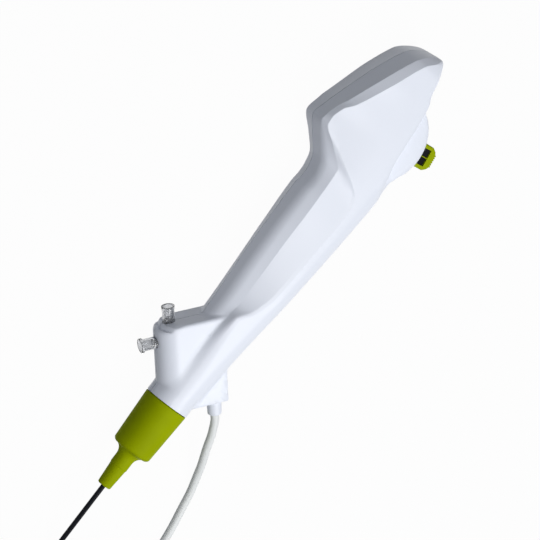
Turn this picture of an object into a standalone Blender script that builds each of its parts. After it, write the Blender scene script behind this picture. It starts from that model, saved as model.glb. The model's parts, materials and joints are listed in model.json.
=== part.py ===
"""Flexible endoscope: pistol-like handle, thumb lever, bending tip, tube and cable laid out on a table.

The handle lies on its side. Its own axes are +X from the nozzle to the head, +Y to the finger side
and +Z up from the parting plane of the two shells. All lengths are in metres.
"""
import math

import bpy
import bmesh
from mathutils import Matrix, Vector

MM = 0.001

# Clearances
GAP = 0.3 * MM            # between pieces that seat on each other
FIT = 0.08 * MM           # between the very small pieces of the tip
SLIDE = 0.35 * MM         # round what slides or turns

# Handle, along X
HANDLE_LENGTH = 264.0 * MM
NOSE_LENGTH = 56.0 * MM
HEAD_LENGTH = 83.5 * MM   # from the deepest place of the finger hollow to the far end
BEAK_BACK = 58.0 * MM     # from the tip of the beak to the far end
CREST_BACK = 45.5 * MM    # from the start of the sloping top to the far end

# Handle, across
SIDE_HALF = 15.5 * MM     # half the width over the flat sides
GRIP_FRONT = 18.7 * MM    # finger side of the grip at its top
GRIP_BACK = 20.6 * MM     # palm side of the grip at its top
HOLLOW_Y = 17.8 * MM
BEAK_Y = 34.6 * MM
CREST_Y = 30.8 * MM
RIDGE_STEP = 1.0 * MM     # how far the finger side is set in from the raised side
CHAMFER = 2.8 * MM        # round the sloping top
PALM_ROUND = 12.0 * MM    # rounds the palm side of the grip
FINGER_ROUND = 9.0 * MM   # rounds the finger side of the grip
BOSS_EDGE = 1.8 * MM      # rounds the edges of the boss
WALL = 2.2 * MM
PARTING_GAP = 0.3 * MM

# Nose sleeve
SLEEVE_RADIUS = 11.8 * MM
SLEEVE_TIP_RADIUS = 10.4 * MM
SLEEVE_BODY_X = 22.5 * MM
SLEEVE_WALL = 2.0 * MM
NOZZLE_LENGTH = 16.5 * MM
NOZZLE_TIP_RADIUS = 3.6 * MM
NOZZLE_RADIUS = 4.7 * MM
SPIGOT_LENGTH = 4.5 * MM
SPIGOT_WALL = 1.6 * MM

# Port block on the finger side, set at 45 degrees
BLOCK_HALF = 9.4 * MM
BLOCK_RUN = 21.6 * MM         # from the sleeve to the block's corner
BLOCK_SINK = 0.1 * MM         # how far the block starts below the sleeve's skin
BLOCK_NOSE_ROUND = 5.0 * MM
BLOCK_EDGE_ROUND = 1.5 * MM
PORT_LENGTH = 8.0 * MM
PORT_SEAT = 4.0 * MM
PORT_RADIUS = 3.05 * MM
PORT_LUG_RADIUS = 3.92 * MM
PORT_LUG = 1.1 * MM
PORT_BORE = 2.1 * MM
PORT_TOP_INSET = 7.8 * MM     # from the block's corner to the upper port's axis
PORT_SIDE_INSET = 9.6 * MM    # from the block's corner to the side port's axis
CHANNEL_DROP = 21.0 * MM      # how far the upper port's bore runs on past the crossing
CHANNEL_RADIUS = 1.0 * MM

# Cable wedge on the palm side, set at 45 degrees
WEDGE_RUN = 13.2 * MM         # from the sleeve to the wedge's corner
WEDGE_SINK = 0.6 * MM
WEDGE_HALF = 6.5 * MM
WEDGE_SOFT = 0.9 * MM
COLLAR_LENGTH = 8.0 * MM
COLLAR_RADIUS = 3.7 * MM
COLLAR_STEM = 2.8 * MM        # radius of the part that sits in the wedge
COLLAR_SEAT = 4.0 * MM
CLAMP_WIDTH = 3.0 * MM
CLAMP_WALL = 0.8 * MM
COLLAR_INSET = 5.4 * MM       # from the wedge's corner to the collar's axis

# Lever and pulling gear
AXLE_BACK = 45.5 * MM         # from the axle to the far end
AXLE_Y = -2.5 * MM
AXLE_RADIUS = 1.6 * MM
BOSS_RADIUS = 23.0 * MM
BOSS_HALF = 9.5 * MM
LEVER_ANGLE = -81.0           # rest direction of the lever, degrees from +X
LEVER_SWING = 28.0            # each way, degrees
PAD_LENGTH = 12.6 * MM
PAD_DEPTH = 8.2 * MM
PAD_HALF = 6.0 * MM
PAD_PLATE = 3.4 * MM
PAD_WALL = 1.3 * MM
PAD_TEETH = 6
PAD_CROWN = 0.9 * MM          # how far the pad's two ends lie below its middle
PAD_SOFT = 0.8 * MM
PAD_SIDE_INSET = 0.9 * MM     # how far the black arm stays behind the pad's sides
TOOTH_HEIGHT = 1.0 * MM
ARM_HALF = 2.4 * MM
ARM_WIDTH = 5.0 * MM
HUB_RADIUS = 4.6 * MM
WHEEL_RIM = 6.5 * MM
WHEEL_GROOVE = 5.15 * MM
WHEEL_THICKNESS = 3.0 * MM
WIRE_RADIUS = 0.35 * MM
GUIDE_RADIUS = 0.95 * MM
GUIDE_BLOCK = (9.0 * MM, 18.0 * MM, 8.0 * MM)
GUIDE_SOFT = 0.8 * MM

# Electronics
BOARD_LENGTH = 24.0 * MM
BOARD_WIDTH = 12.0 * MM
BOARD_THICKNESS = 1.2 * MM
BOARD_RISE = 2.6 * MM         # from the shell's inner wall to the board's middle
CHIP_SIZE = 6.5 * MM
CHIP_HEIGHT = 1.2 * MM

# Cords
TUBE_RADIUS = 1.25 * MM
CABLE_RADIUS = 2.15 * MM
TUBE_COIL_RADIUS = 21.0 * MM
TUBE_COIL_SECTION = 3.1 * MM
CABLE_COIL_RADIUS = 28.0 * MM
CABLE_COIL_SECTION = 7.6 * MM
TUBE_COIL_X = -88.0 * MM
CABLE_COIL_X = -38.0 * MM
CABLE_COIL_Y = -86.0 * MM
REST = -SIDE_HALF             # height of the table in the handle's axes
LIFT = 0.05 * MM              # keeps a cord off the table

# Bending section
LINK_PITCH = 4.0 * MM
LINK_COUNT = 9
LINK_RADIUS = 1.2 * MM
LINK_NECK = 0.72 * MM         # from a hinge to the round body on either side
KNUCKLE = 0.56 * MM           # radius of a hinge's ear
TONGUE_HALF = 0.32 * MM
EAR_GAP = 0.12 * MM
TAIL_LENGTH = 25.0 * MM
BASE_LENGTH = 3.5 * MM
TIP_LENGTH = 6.5 * MM
TIP_RADIUS = 1.25 * MM
LENS_RADIUS = 0.42 * MM
LIGHT_RADIUS = 0.22 * MM
OUTLET_RADIUS = 0.45 * MM

# Plug of the video cable
PLUG_SIZE = (20.0 * MM, 12.0 * MM, 9.0 * MM)
PLUG_BOOT_LENGTH = 6.5 * MM
PLUG_NOSE = (4.0 * MM, 8.6 * MM, 5.4 * MM)
PLUG_TAIL = 6.5 * MM
PLUG_ROUND = 1.6 * MM

# Materials: colour, metallic, roughness
FINISHES = {
    "white_plastic": ((0.83, 0.84, 0.87), 0.0, 0.35),
    "green_plastic": ((0.33, 0.40, 0.01), 0.0, 0.42),
    "black_plastic": ((0.02, 0.02, 0.022), 0.0, 0.45),
    "clear_plastic": ((0.78, 0.80, 0.82), 0.0, 0.12),
    "grey_plastic": ((0.35, 0.36, 0.38), 0.0, 0.5),
    "steel": ((0.62, 0.63, 0.65), 1.0, 0.28),
    "board": ((0.03, 0.16, 0.07), 0.0, 0.5),
    "black_sheath": ((0.012, 0.013, 0.016), 0.0, 0.4),
    "cable_jacket": ((0.78, 0.80, 0.80), 0.0, 0.4),
    "lens_glass": ((0.05, 0.06, 0.09), 0.0, 0.05),
    "light_window": ((0.95, 0.93, 0.80), 0.0, 0.1),
    "gold": ((0.83, 0.61, 0.22), 1.0, 0.25),
}


def clear_scene():
    for thing in list(bpy.data.objects):
        bpy.data.objects.remove(thing, do_unlink=True)


def new_collection(name):
    group = bpy.data.collections.new(name)
    bpy.context.scene.collection.children.link(group)
    return group


def finish_material(node_name, finish):
    """Each node has a material of its own, made from one of the finishes."""
    colour, metallic, roughness = FINISHES[finish]
    material = bpy.data.materials.new(node_name + "_" + finish)
    material.use_nodes = True
    shader = material.node_tree.nodes["Principled BSDF"]
    shader.inputs["Base Color"].default_value = (*colour, 1.0)
    shader.inputs["Metallic"].default_value = metallic
    shader.inputs["Roughness"].default_value = roughness
    material.diffuse_color = (*colour, 1.0)
    return material


# Outlines and sections

def smooth_curve(points):
    """Interpolate a list of (x, value) without overshoot."""
    xs = [p[0] for p in points]
    ys = [p[1] for p in points]
    steps = [(ys[i + 1] - ys[i]) / (xs[i + 1] - xs[i]) for i in range(len(xs) - 1)]
    slopes = [steps[0]]
    for before, after in zip(steps, steps[1:]):
        slopes.append(0.0 if before * after <= 0 else 2 * before * after / (before + after))
    slopes.append(steps[-1])

    def value(x):
        x = min(max(x, xs[0]), xs[-1])
        i = max(k for k in range(len(xs) - 1) if xs[k] <= x)
        width = xs[i + 1] - xs[i]
        t = (x - xs[i]) / width
        rise = (1 + 2 * t) * (1 - t) ** 2 * ys[i] + t * t * (3 - 2 * t) * ys[i + 1]
        return rise + width * (t * (1 - t) ** 2 * slopes[i] - t * t * (1 - t) * slopes[i + 1])
    return value


def round_corner(before, corner, after, radius, count):
    """Points of an arc that rounds one corner of a 2D line; the radius shrinks where edges are short."""
    a, b, c = Vector(before), Vector(corner), Vector(after)
    to_a, to_c = a - b, c - b
    reach = 0.499 * min(to_a.length, to_c.length)
    to_a.normalize()
    to_c.normalize()
    half = to_a.angle(to_c) / 2
    if half > math.radians(89.8):
        spread = min(reach, radius)
        return [b + to_a * spread * (1 - 2 * k / (count - 1)) if k * 2 < count
                else b + to_c * spread * (2 * k / (count - 1) - 1) for k in range(count)]
    run = min(reach, radius / math.tan(half))
    start, end = b + to_a * run, b + to_c * run
    arc_radius = run * math.tan(half)
    centre = b + (to_a + to_c).normalized() * math.hypot(run, arc_radius)
    first, last = start - centre, end - centre
    sweep = first.angle_signed(last)
    return [centre + Matrix.Rotation(-sweep * k / (count - 1), 2) @ first for k in range(count)]


def rounded_line(corners, radii, count):
    """An open 2D line through the first and last point, with every corner between rounded."""
    line = [Vector(corners[0])]
    for before, corner, after, radius in zip(corners, corners[1:], corners[2:], radii):
        line += round_corner(before, corner, after, radius, count)
    line.append(Vector(corners[-1]))
    return line


def offset_line(corners, inset):
    """Move each edge of an open 2D line to its right by the inset; the ends stay on their own axis."""
    normals = []
    for a, b in zip(corners, corners[1:]):
        along = (Vector(b) - Vector(a)).normalized()
        normals.append(Vector((along.y, -along.x)))
    moved = [Vector(corners[0]) + normals[0] * inset]
    for corner, before, after in zip(corners[1:-1], normals, normals[1:]):
        bisector = (before + after).normalized()
        moved.append(Vector(corner) + bisector * inset / max(bisector.dot(after), 0.3))
    moved.append(Vector(corners[-1]) + normals[-1] * inset)
    return moved


# Solids

def add_object(name, mesh, finish, group):
    thing = bpy.data.objects.new(name, mesh)
    mesh.materials.append(finish_material(name, finish))
    group.objects.link(thing)
    return thing


def mesh_from(name, verts, faces):
    mesh = bpy.data.meshes.new(name)
    shape = bmesh.new()
    corners = [shape.verts.new(v) for v in verts]
    for face in faces:
        shape.faces.new([corners[i] for i in face])
    bmesh.ops.recalc_face_normals(shape, faces=shape.faces)
    if shape.calc_volume(signed=True) < 0:
        bmesh.ops.reverse_faces(shape, faces=shape.faces)
    shape.to_mesh(mesh)
    shape.free()
    return mesh


def loft(name, rings, finish, group):
    """A closed solid through rings of equally many points."""
    count = len(rings[0])
    verts = [tuple(p) for ring in rings for p in ring]
    faces = [list(range(count)), list(range((len(rings) - 1) * count, len(rings) * count))]
    for row in range(len(rings) - 1):
        for i in range(count):
            j = (i + 1) % count
            low, high = row * count, (row + 1) * count
            faces.append([low + i, low + j, high + j, high + i])
    return add_object(name, mesh_from(name, verts, faces), finish, group)


def facing(direction, origin=(0, 0, 0)):
    """A matrix that takes local +Z to a direction."""
    turn = Vector((0, 0, 1)).rotation_difference(Vector(direction)).to_matrix().to_4x4()
    return Matrix.Translation(Vector(origin)) @ turn


def turned(name, profile, place, finish, group, steps=32):
    """Turn a closed profile of (radius, height) points, outer side first from top to bottom."""
    mesh = bpy.data.meshes.new(name)
    edges = [(i, (i + 1) % len(profile)) for i in range(len(profile))]
    if profile[0][0] == 0.0 and profile[-1][0] == 0.0:
        edges.pop()
    mesh.from_pydata([(radius, 0.0, height) for radius, height in profile], edges, [])
    thing = add_object(name, mesh, finish, group)
    screw = thing.modifiers.new("Turn", "SCREW")
    screw.steps = screw.render_steps = steps
    screw.use_merge_vertices = True
    screw.merge_threshold = 1e-6
    thing.matrix_world = place
    return thing


def rod(name, start, end, radius, finish, group, steps=24):
    """A plain round bar between two points."""
    start, end = Vector(start), Vector(end)
    length = (end - start).length
    profile = [(0.0, length), (radius, length), (radius, 0.0), (0.0, 0.0)]
    return turned(name, profile, facing(end - start, start), finish, group, steps)


def pipe(name, start, end, radius, bore, finish, group, steps=24):
    """A round tube between two points."""
    start, end = Vector(start), Vector(end)
    length = (end - start).length
    profile = [(radius, length), (radius, 0.0), (bore, 0.0), (bore, length)]
    return turned(name, profile, facing(end - start, start), finish, group, steps)


def slab(name, centre, size, finish, group, bevel=0.0):
    """A box with optional rounded edges."""
    x, y, z = (s / 2 for s in size)
    verts = [(i * x, j * y, k * z) for i in (-1, 1) for j in (-1, 1) for k in (-1, 1)]
    faces = [(0, 1, 3, 2), (4, 6, 7, 5), (0, 4, 5, 1), (2, 3, 7, 6), (0, 2, 6, 4), (1, 5, 7, 3)]
    thing = add_object(name, mesh_from(name, verts, faces), finish, group)
    thing.location = centre
    if bevel:
        rounding = thing.modifiers.new("Round", "BEVEL")
        rounding.width = bevel
        rounding.segments = 2
    return thing


def extruded(name, plan, low, high, place, finish, group):
    """Push a flat outline up from one height to another."""
    rings = [[(x, y, height) for x, y in plan] for height in (low, high)]
    thing = loft(name, rings, finish, group)
    thing.matrix_world = place
    return thing


def combine(thing, other, operation):
    """Join or cut with another object, which is kept as a hidden guide."""
    change = thing.modifiers.new(operation.title() + "_" + other.name, "BOOLEAN")
    change.operation = operation
    change.solver = "EXACT"
    change.object = other
    other.hide_render = True
    other.display_type = "WIRE"
    return thing


def smooth_route(points, spacing):
    """Read points from a smooth curve through the route's own points, at an even spacing."""
    points = [Vector(p) for p in points]
    ends = [2 * points[0] - points[1]] + points + [2 * points[-1] - points[-2]]
    fine = []
    for a, b, c, d in zip(ends, ends[1:], ends[2:], ends[3:]):
        for k in range(24):
            t = k / 24
            fine.append(0.5 * (2 * b + (c - a) * t + (2 * a - 5 * b + 4 * c - d) * t * t
                               + (3 * b - a - 3 * c + d) * t ** 3))
    fine.append(points[-1])
    length = sum((b - a).length for a, b in zip(fine, fine[1:]))
    count = max(2, round(length / spacing))
    route, walked, target = [fine[0]], 0.0, length / count
    for a, b in zip(fine, fine[1:]):
        step = (b - a).length
        while walked + step >= target and len(route) < count:
            route.append(a.lerp(b, (target - walked) / step))
            target += length / count
        walked += step
    route.append(fine[-1])
    return route


def cord(name, points, radius, finish, group, resolution=2, spacing=None):
    """A round cord along a smooth route."""
    curve = bpy.data.curves.new(name, "CURVE")
    curve.dimensions = "3D"
    curve.bevel_depth = radius
    curve.bevel_resolution = resolution
    curve.use_fill_caps = True
    route = smooth_route(points, spacing or 5 * radius)
    spline = curve.splines.new("POLY")
    spline.points.add(len(route) - 1)
    for point, place in zip(spline.points, route):
        point.co = (*place, 1.0)
    thing = bpy.data.objects.new(name, curve)
    curve.materials.append(finish_material(name, finish))
    group.objects.link(thing)
    return thing


# Places along the handle

JOINT_X = NOSE_LENGTH + GAP
END_X = HANDLE_LENGTH
HOLLOW_X = END_X - HEAD_LENGTH
BEAK_X = END_X - BEAK_BACK
CREST_X = END_X - CREST_BACK
AXLE_X = END_X - AXLE_BACK
TUBE_END_X = NOZZLE_LENGTH - 3.0 * MM


def along(share):
    """A place on the handle: 0 at the sleeve, 1 at the finger hollow, 2 at the far end."""
    if share <= 1:
        return JOINT_X + share * (HOLLOW_X - JOINT_X)
    return HOLLOW_X + (share - 1) * HEAD_LENGTH


def outline(points, unit):
    """A curve through (share of the handle, multiple of a size)."""
    return smooth_curve([(along(share), multiple * unit) for share, multiple in points])


GRIP_TOP_X = along(0.94)
HEAD_X = along(1.114)                 # where the head starts on the palm side
ROOT_HALF = PARTING_GAP / 2


# Outer shape of the handle

def front_outline():
    """Finger side on the parting plane, from the nose to the far end of the head."""
    top = END_X - CREST_X
    return smooth_curve([
        (JOINT_X, SLEEVE_RADIUS),
        (JOINT_X + 0.34 * (GRIP_TOP_X - JOINT_X), SLEEVE_RADIUS + 0.5 * (GRIP_FRONT - SLEEVE_RADIUS)),
        (GRIP_TOP_X, GRIP_FRONT),
        (HOLLOW_X, HOLLOW_Y),
        (HOLLOW_X + 0.30 * (BEAK_X - HOLLOW_X), HOLLOW_Y + 0.10 * (BEAK_Y - HOLLOW_Y)),
        (HOLLOW_X + 0.64 * (BEAK_X - HOLLOW_X), HOLLOW_Y + 0.54 * (BEAK_Y - HOLLOW_Y)),
        (HOLLOW_X + 0.90 * (BEAK_X - HOLLOW_X), HOLLOW_Y + 0.92 * (BEAK_Y - HOLLOW_Y)),
        (BEAK_X, BEAK_Y),
        (BEAK_X + 0.4 * (CREST_X - BEAK_X), BEAK_Y - 0.35 * (BEAK_Y - CREST_Y)),
        (CREST_X, CREST_Y),
        (CREST_X + 0.82 * top, 0.47 * CREST_Y),
        (CREST_X + 0.90 * top, 0.36 * CREST_Y),
        (CREST_X + 0.96 * top, 0.22 * CREST_Y),
        (END_X, 0.09 * CREST_Y)])


def by_axle(out, across):
    """A place by the axle, in multiples of the boss's radius."""
    return AXLE_X + out * BOSS_RADIUS, AXLE_Y + across * BOSS_RADIUS


def back_outline():
    """Palm side on the parting plane, with the boss that covers the pulling wheel."""
    points = [(JOINT_X, -SLEEVE_RADIUS), (along(0.24), -0.65 * GRIP_BACK), (GRIP_TOP_X, -GRIP_BACK),
              (HEAD_X, -1.044 * GRIP_BACK), (along(1.234), -GRIP_BACK)]
    for angle in (-123, -110, -90, -75, -60, -46, -34, -24):
        turn = math.radians(angle)
        points.append(by_axle(math.cos(turn), math.sin(turn)))
    points += [(along(1.856), -0.214 * GRIP_BACK), (END_X, -0.02 * GRIP_BACK)]
    return smooth_curve(points)


def side_back_outline():
    """Palm-side edge of the flat side of the head."""
    return smooth_curve([
        (JOINT_X, -SLEEVE_RADIUS), (HEAD_X, -0.88 * GRIP_BACK), by_axle(-0.343, -0.413),
        by_axle(0.283, -0.343), by_axle(0.978, -0.239), (along(1.856), -0.175 * GRIP_BACK),
        (END_X, 0.01 * GRIP_BACK)])


FRONT = front_outline()
BACK = back_outline()
SIDE_BACK = side_back_outline()

# Half width over the raised side
SIDE = smooth_curve([(JOINT_X, SLEEVE_RADIUS), (along(0.242), 0.86 * SIDE_HALF),
                     (along(0.451), 0.955 * SIDE_HALF), (along(0.564), SIDE_HALF),
                     (along(1.892), SIDE_HALF), (END_X, 0.86 * SIDE_HALF)])

# Edge between the raised side and the finger side, and how far the finger side is set in there
RIDGE = outline([(0.0, 0.0), (0.328, 0.516), (0.368, 0.452), (0.44, 0.0), (0.545, -0.245), (0.763, -0.348),
                 (0.992, -0.426), (1.066, -0.252), (1.102, 0.026), (1.21, 1.129), (1.293, 1.742),
                 (1.449, 0.516), (2.0, 0.194)], SIDE_HALF)
STEP = outline([(0.0, 0.0), (0.352, 0.0), (0.449, 1.0), (1.186, 1.0), (1.293, 0.0), (2.0, 0.0)], RIDGE_STEP)

# The side is flat up to FLAT_TOP_Y, and leans in by this share from there to the sloping top
FLAT_TOP_Y = 0.387 * SIDE_HALF
LEAN = outline([(0.0, 0.0), (1.066, 0.05), (1.21, 0.14), (1.377, 0.165), (1.485, 0.115), (1.593, 0.08),
                (1.737, 0.02), (2.0, 0.005)], 1.0)

# Finger-side edge of the facet beside the ridge, and the half width there
FACET = outline([(0.0, 0.258), (0.328, 0.529), (0.432, 0.51), (0.754, 0.6), (0.916, 0.652), (1.114, 0.735),
                 (1.21, 1.355), (1.299, 2.0), (1.377, 2.026), (1.485, 1.658), (1.737, 1.019), (1.88, 0.658),
                 (1.916, 0.529), (1.952, 0.297), (2.0, 0.065)], SIDE_HALF)
FACET_HALF = outline([(0.0, 0.684), (0.328, 0.606), (0.432, 0.619), (0.754, 0.735), (0.916, 0.813),
                      (1.114, 0.826), (1.21, 0.813), (1.305, 0.671)], SIDE_HALF)


# The grip is round at the nose and has its full section from GRIP_START_X on
ROUND_END_X = along(0.097)
GRIP_START_X = along(0.467)


def ease(share):
    """A smooth step from 0 to 1."""
    share = min(max(share, 0.0), 1.0)
    return share * share * (3 - 2 * share)


def palm_corners(x):
    """The three corners that round the palm side: a full round on the grip, a boss on the head."""
    half, back, edge = SIDE(x), BACK(x), SIDE_BACK(x)
    reach = min(PALM_ROUND, half)
    full = []
    for angle in (15, 45, 75):
        out = reach / math.cos(math.radians(15))
        turn = math.radians(angle)
        full.append(Vector((back + reach - out * math.cos(turn), half - reach + out * math.sin(turn))))
    past_boss = max(0.0, x - AXLE_X - 0.87 * BOSS_RADIUS)
    boss_half = min(BOSS_HALF + 0.3 * past_boss, 0.903 * half)
    depth = FRONT(x) - back
    step = min(max(edge, back + min(0.9 * BOSS_EDGE, 0.2 * depth)), back + 0.7 * depth)
    head = [Vector((back, boss_half)), Vector((step, 1.04 * boss_half)),
            Vector((step + min(0.3 * BOSS_EDGE, 0.05 * depth), half))]
    share = ease((x - HEAD_X) / (BEAK_X - HEAD_X))
    return [a.lerp(b, share) for a, b in zip(full, head)], share


def section_corners(x):
    """Corners of half a section, in (Y, Z), from the palm side to the finger side, with their radii."""
    palm, share = palm_corners(x)
    half, front = SIDE(x), FRONT(x)
    edge_y = palm[2].x

    def lean(y):
        return half - LEAN(x) * max(0.0, y - FLAT_TOP_Y)
    facet = FACET(x)
    if x < BEAK_X:
        facet_half = FACET_HALF(x)
        ridge = min(RIDGE(x), facet - 1.6 * RIDGE_STEP)
        shoulder = (facet + 0.74 * (front - facet), 0.66 * facet_half)
        front_radii = (0.5 * RIDGE_STEP, 0.5 * RIDGE_STEP, 1.2 * RIDGE_STEP, FINGER_ROUND)
    else:
        depth = front - edge_y
        facet = max(min(facet, front - min(0.54 * CHAMFER, 0.3 * depth)), edge_y + 0.3 * depth)
        facet_half = lean(facet)
        ridge = edge_y + 0.5 * (facet - edge_y)
        chamfer = min(CHAMFER, 0.8 * (front - facet))
        shoulder = (facet + chamfer, facet_half - CHAMFER)
        front_radii = (CHAMFER, CHAMFER, 0.3 * CHAMFER, 0.3 * CHAMFER)
    step_y = ridge + min(1.2 * RIDGE_STEP, 0.6 * (facet - ridge))
    finger = [Vector(p) for p in ((ridge, lean(ridge)), (step_y, lean(step_y) - STEP(x)),
                                  (facet, facet_half), shoulder)]
    round_share = 1 - ease((x - ROUND_END_X) / (GRIP_START_X - ROUND_END_X))
    for k, angle in enumerate((11.25, 33.75, 56.25, 78.75)):
        turn = math.radians(angle)
        on_round = Vector((front * math.sin(turn), half * math.cos(turn))) / math.cos(math.radians(11.25))
        finger[k] = finger[k].lerp(on_round, round_share)
    corners = [(BACK(x), 0.0), *palm, *finger, (front, 0.0)]
    palm_radius = PALM_ROUND * (1 - share) + BOSS_EDGE * share
    front_radii = [r + (PALM_ROUND - r) * round_share for r in front_radii]
    radii = (palm_radius, palm_radius, palm_radius, *front_radii)
    return corners, radii


def stations():
    """Places along the handle where it is given a section, closer where the outline turns."""
    stretches = ((JOINT_X, along(0.43), 6), (along(0.43), GRIP_TOP_X, 4), (GRIP_TOP_X, along(1.257), 11),
                 (along(1.257), CREST_X, 9), (CREST_X, along(1.892), 8), (along(1.892), END_X, 6))
    places = [low + (high - low) * k / count for low, high, count in stretches for k in range(count)]
    return places + [END_X]


def mirrored_ring(x, half):
    """A full section from its half, whose first and last points lie on the parting plane."""
    return [(x, p.x, p.y) for p in half] + [(x, p.x, -p.y) for p in reversed(half[1:-1])]


def shell_ring(x):
    corners, radii = section_corners(x)
    return mirrored_ring(x, rounded_line(corners, radii, 3))


def cavity_ring(x):
    """Section of the hollow, one wall inside the shells."""
    corners, radii = section_corners(x)
    inner = offset_line(corners, WALL)
    inner[0].y = inner[-1].y = 0.0
    return mirrored_ring(x, rounded_line(inner, [max(r - WALL, 0.4 * MM) for r in radii], 3))


# Port block, cable wedge and the axes of what leaves them

UP_PORT = Vector((1, 1, 0)).normalized()      # the upper port points along this
SIDE_PORT = Vector((-1, 1, 0)).normalized()   # the side port points along this


BLOCK_CORNER = Vector((JOINT_X + BLOCK_RUN, SLEEVE_RADIUS - BLOCK_SINK + BLOCK_RUN, 0.0))
WEDGE_CORNER = Vector((JOINT_X + WEDGE_RUN, WEDGE_SINK - SLEEVE_RADIUS - WEDGE_RUN, 0.0))


def port_axes():
    """Where the two port axes leave the block."""
    return BLOCK_CORNER - SIDE_PORT * PORT_TOP_INSET, BLOCK_CORNER - UP_PORT * PORT_SIDE_INSET


def port_block(guides):
    """The block: round towards the nose, flat on top, square to the ports."""
    corner = BLOCK_CORNER
    root_y = WALL
    rings = []
    rises = [-BLOCK_RUN * math.sqrt(2)]
    rises += [-BLOCK_NOSE_ROUND * (1 - math.sin(math.radians(a))) for a in range(0, 91, 15)]
    for rise in rises:
        into = max(0.0, rise + BLOCK_NOSE_ROUND)
        nose_inset = BLOCK_NOSE_ROUND - math.sqrt(max(0.0, BLOCK_NOSE_ROUND ** 2 - into ** 2))
        into = max(0.0, rise + BLOCK_EDGE_ROUND)
        half = BLOCK_HALF - BLOCK_EDGE_ROUND + math.sqrt(max(0.0, BLOCK_EDGE_ROUND ** 2 - into ** 2))
        depth = (corner.y - root_y) * math.sqrt(2) + rise
        nose = BLOCK_HALF - 0.4 * nose_inset
        ring = [(-depth, -half)]
        for k in range(-8, 9):
            turn = math.radians(11.25 * k)
            ring.append((-nose_inset - nose * (1 - math.cos(turn)), half * math.sin(turn)))
        ring.append((-depth, half))
        rings.append([corner + UP_PORT * rise + SIDE_PORT * out + Vector((0, 0, up)) for out, up in ring])
    return loft("guide_block", rings, "white_plastic", guides)


def inset_outline(plan, inset):
    """Move the edges of a counter-clockwise convex outline inwards."""
    moved = []
    count = len(plan)
    for i in range(count):
        a, b, c = (Vector(plan[(i + k) % count]) for k in (-1, 0, 1))
        first, second = (b - a).normalized(), (c - b).normalized()
        inward = Vector((-first.y, first.x)) + Vector((-second.y, second.x))
        moved.append(b + inward.normalized() * inset / max(inward.length / 2, 0.2))
    return moved


def cable_wedge(guides):
    """The wedge that the cable leaves through."""
    places = ((0.0, 0.0), (1.0, 1.0), (0.6, 1.6), (-0.6, 1.6), (-1.0, 1.0))
    plan = [WEDGE_CORNER.xy + WEDGE_RUN * Vector(place) for place in places]
    rings = []
    for side in (-1, 1):
        for angle in ((90, 60, 30, 0) if side < 0 else (0, 30, 60, 90)):
            turn = math.radians(angle)
            height = WEDGE_HALF - WEDGE_SOFT * (1 - math.sin(turn))
            inset = WEDGE_SOFT * (1 - math.cos(turn))
            rings.append([(p.x, p.y, side * height) for p in inset_outline(plan, inset)])
    return loft("guide_wedge", rings, "white_plastic", guides)


def collar_axis():
    """Where the cable's axis leaves the wedge."""
    return WEDGE_CORNER + SIDE_PORT * COLLAR_INSET


def lever_direction(angle=LEVER_ANGLE):
    return Vector((math.cos(math.radians(angle)), math.sin(math.radians(angle)), 0.0))


AXLE = Vector((AXLE_X, AXLE_Y, 0.0))


def slot_outline():
    """Side view of the slot that the lever's arm swings in."""
    spare = math.degrees((ARM_WIDTH / 2 + SLIDE) / (BOSS_RADIUS - WALL))
    first, last = LEVER_ANGLE - LEVER_SWING - spare, LEVER_ANGLE + LEVER_SWING + spare
    low, high = 0.65 * BOSS_RADIUS, 1.26 * BOSS_RADIUS
    turns = [first + (last - first) * k / 10 for k in range(11)]
    inner = [AXLE + lever_direction(a) * low for a in turns]
    outer = [AXLE + lever_direction(a) * high for a in reversed(turns)]
    return [(p.x, p.y) for p in inner + outer]


def handle_shells(group, guides):
    """Two half shells with the port block and the cable wedge, hollowed by the same guides."""
    places = stations()
    hollow_places = [x for x in places if x < END_X - 2.5 * WALL][::2]
    hollow_places[0] = JOINT_X - WALL
    rings = [cavity_ring(max(x, JOINT_X)) for x in hollow_places]
    rings[0] = [(hollow_places[0], y, z) for _, y, z in rings[0]]
    hollow = loft("guide_hollow", rings, "white_plastic", guides)
    top_port, side_port = port_axes()
    cuts = [hollow]
    # The two bores have different numbers of sides, so that no corner of one meets a corner of the other
    for name, face, out, depth, sides in (
            ("guide_top_bore", top_port, UP_PORT, PORT_SIDE_INSET + CHANNEL_DROP, 24),
            ("guide_side_bore", side_port, SIDE_PORT, PORT_TOP_INSET, 22)):
        cuts.append(rod(name, face - out * depth, face + out * PORT_RADIUS, PORT_RADIUS + GAP,
                        "white_plastic", guides, sides))
    cable = collar_axis()
    cuts.append(rod("guide_collar_bore", cable - UP_PORT * COLLAR_SEAT, cable + UP_PORT * 1.15 * WEDGE_RUN,
                    COLLAR_STEM + GAP, "white_plastic", guides))
    cuts.append(extruded("guide_slot", slot_outline(), -ARM_HALF - SLIDE, ARM_HALF + SLIDE,
                         Matrix.Identity(4), "white_plastic", guides))
    block, wedge = port_block(guides), cable_wedge(guides)
    for side, name in ((1, "upper_shell"), (-1, "lower_shell")):
        shell = loft(name, [shell_ring(x) for x in places], "white_plastic", group)
        combine(shell, block, "UNION")
        combine(shell, wedge, "UNION")
        for cut in cuts:
            combine(shell, cut, "DIFFERENCE")
        other_half = slab("guide_other_half_of_" + name, (END_X / 2, 0, side * (ROOT_HALF - END_X)),
                          (2 * END_X, 2 * END_X, 2 * END_X), "white_plastic", guides)
        combine(shell, other_half, "DIFFERENCE")


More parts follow.
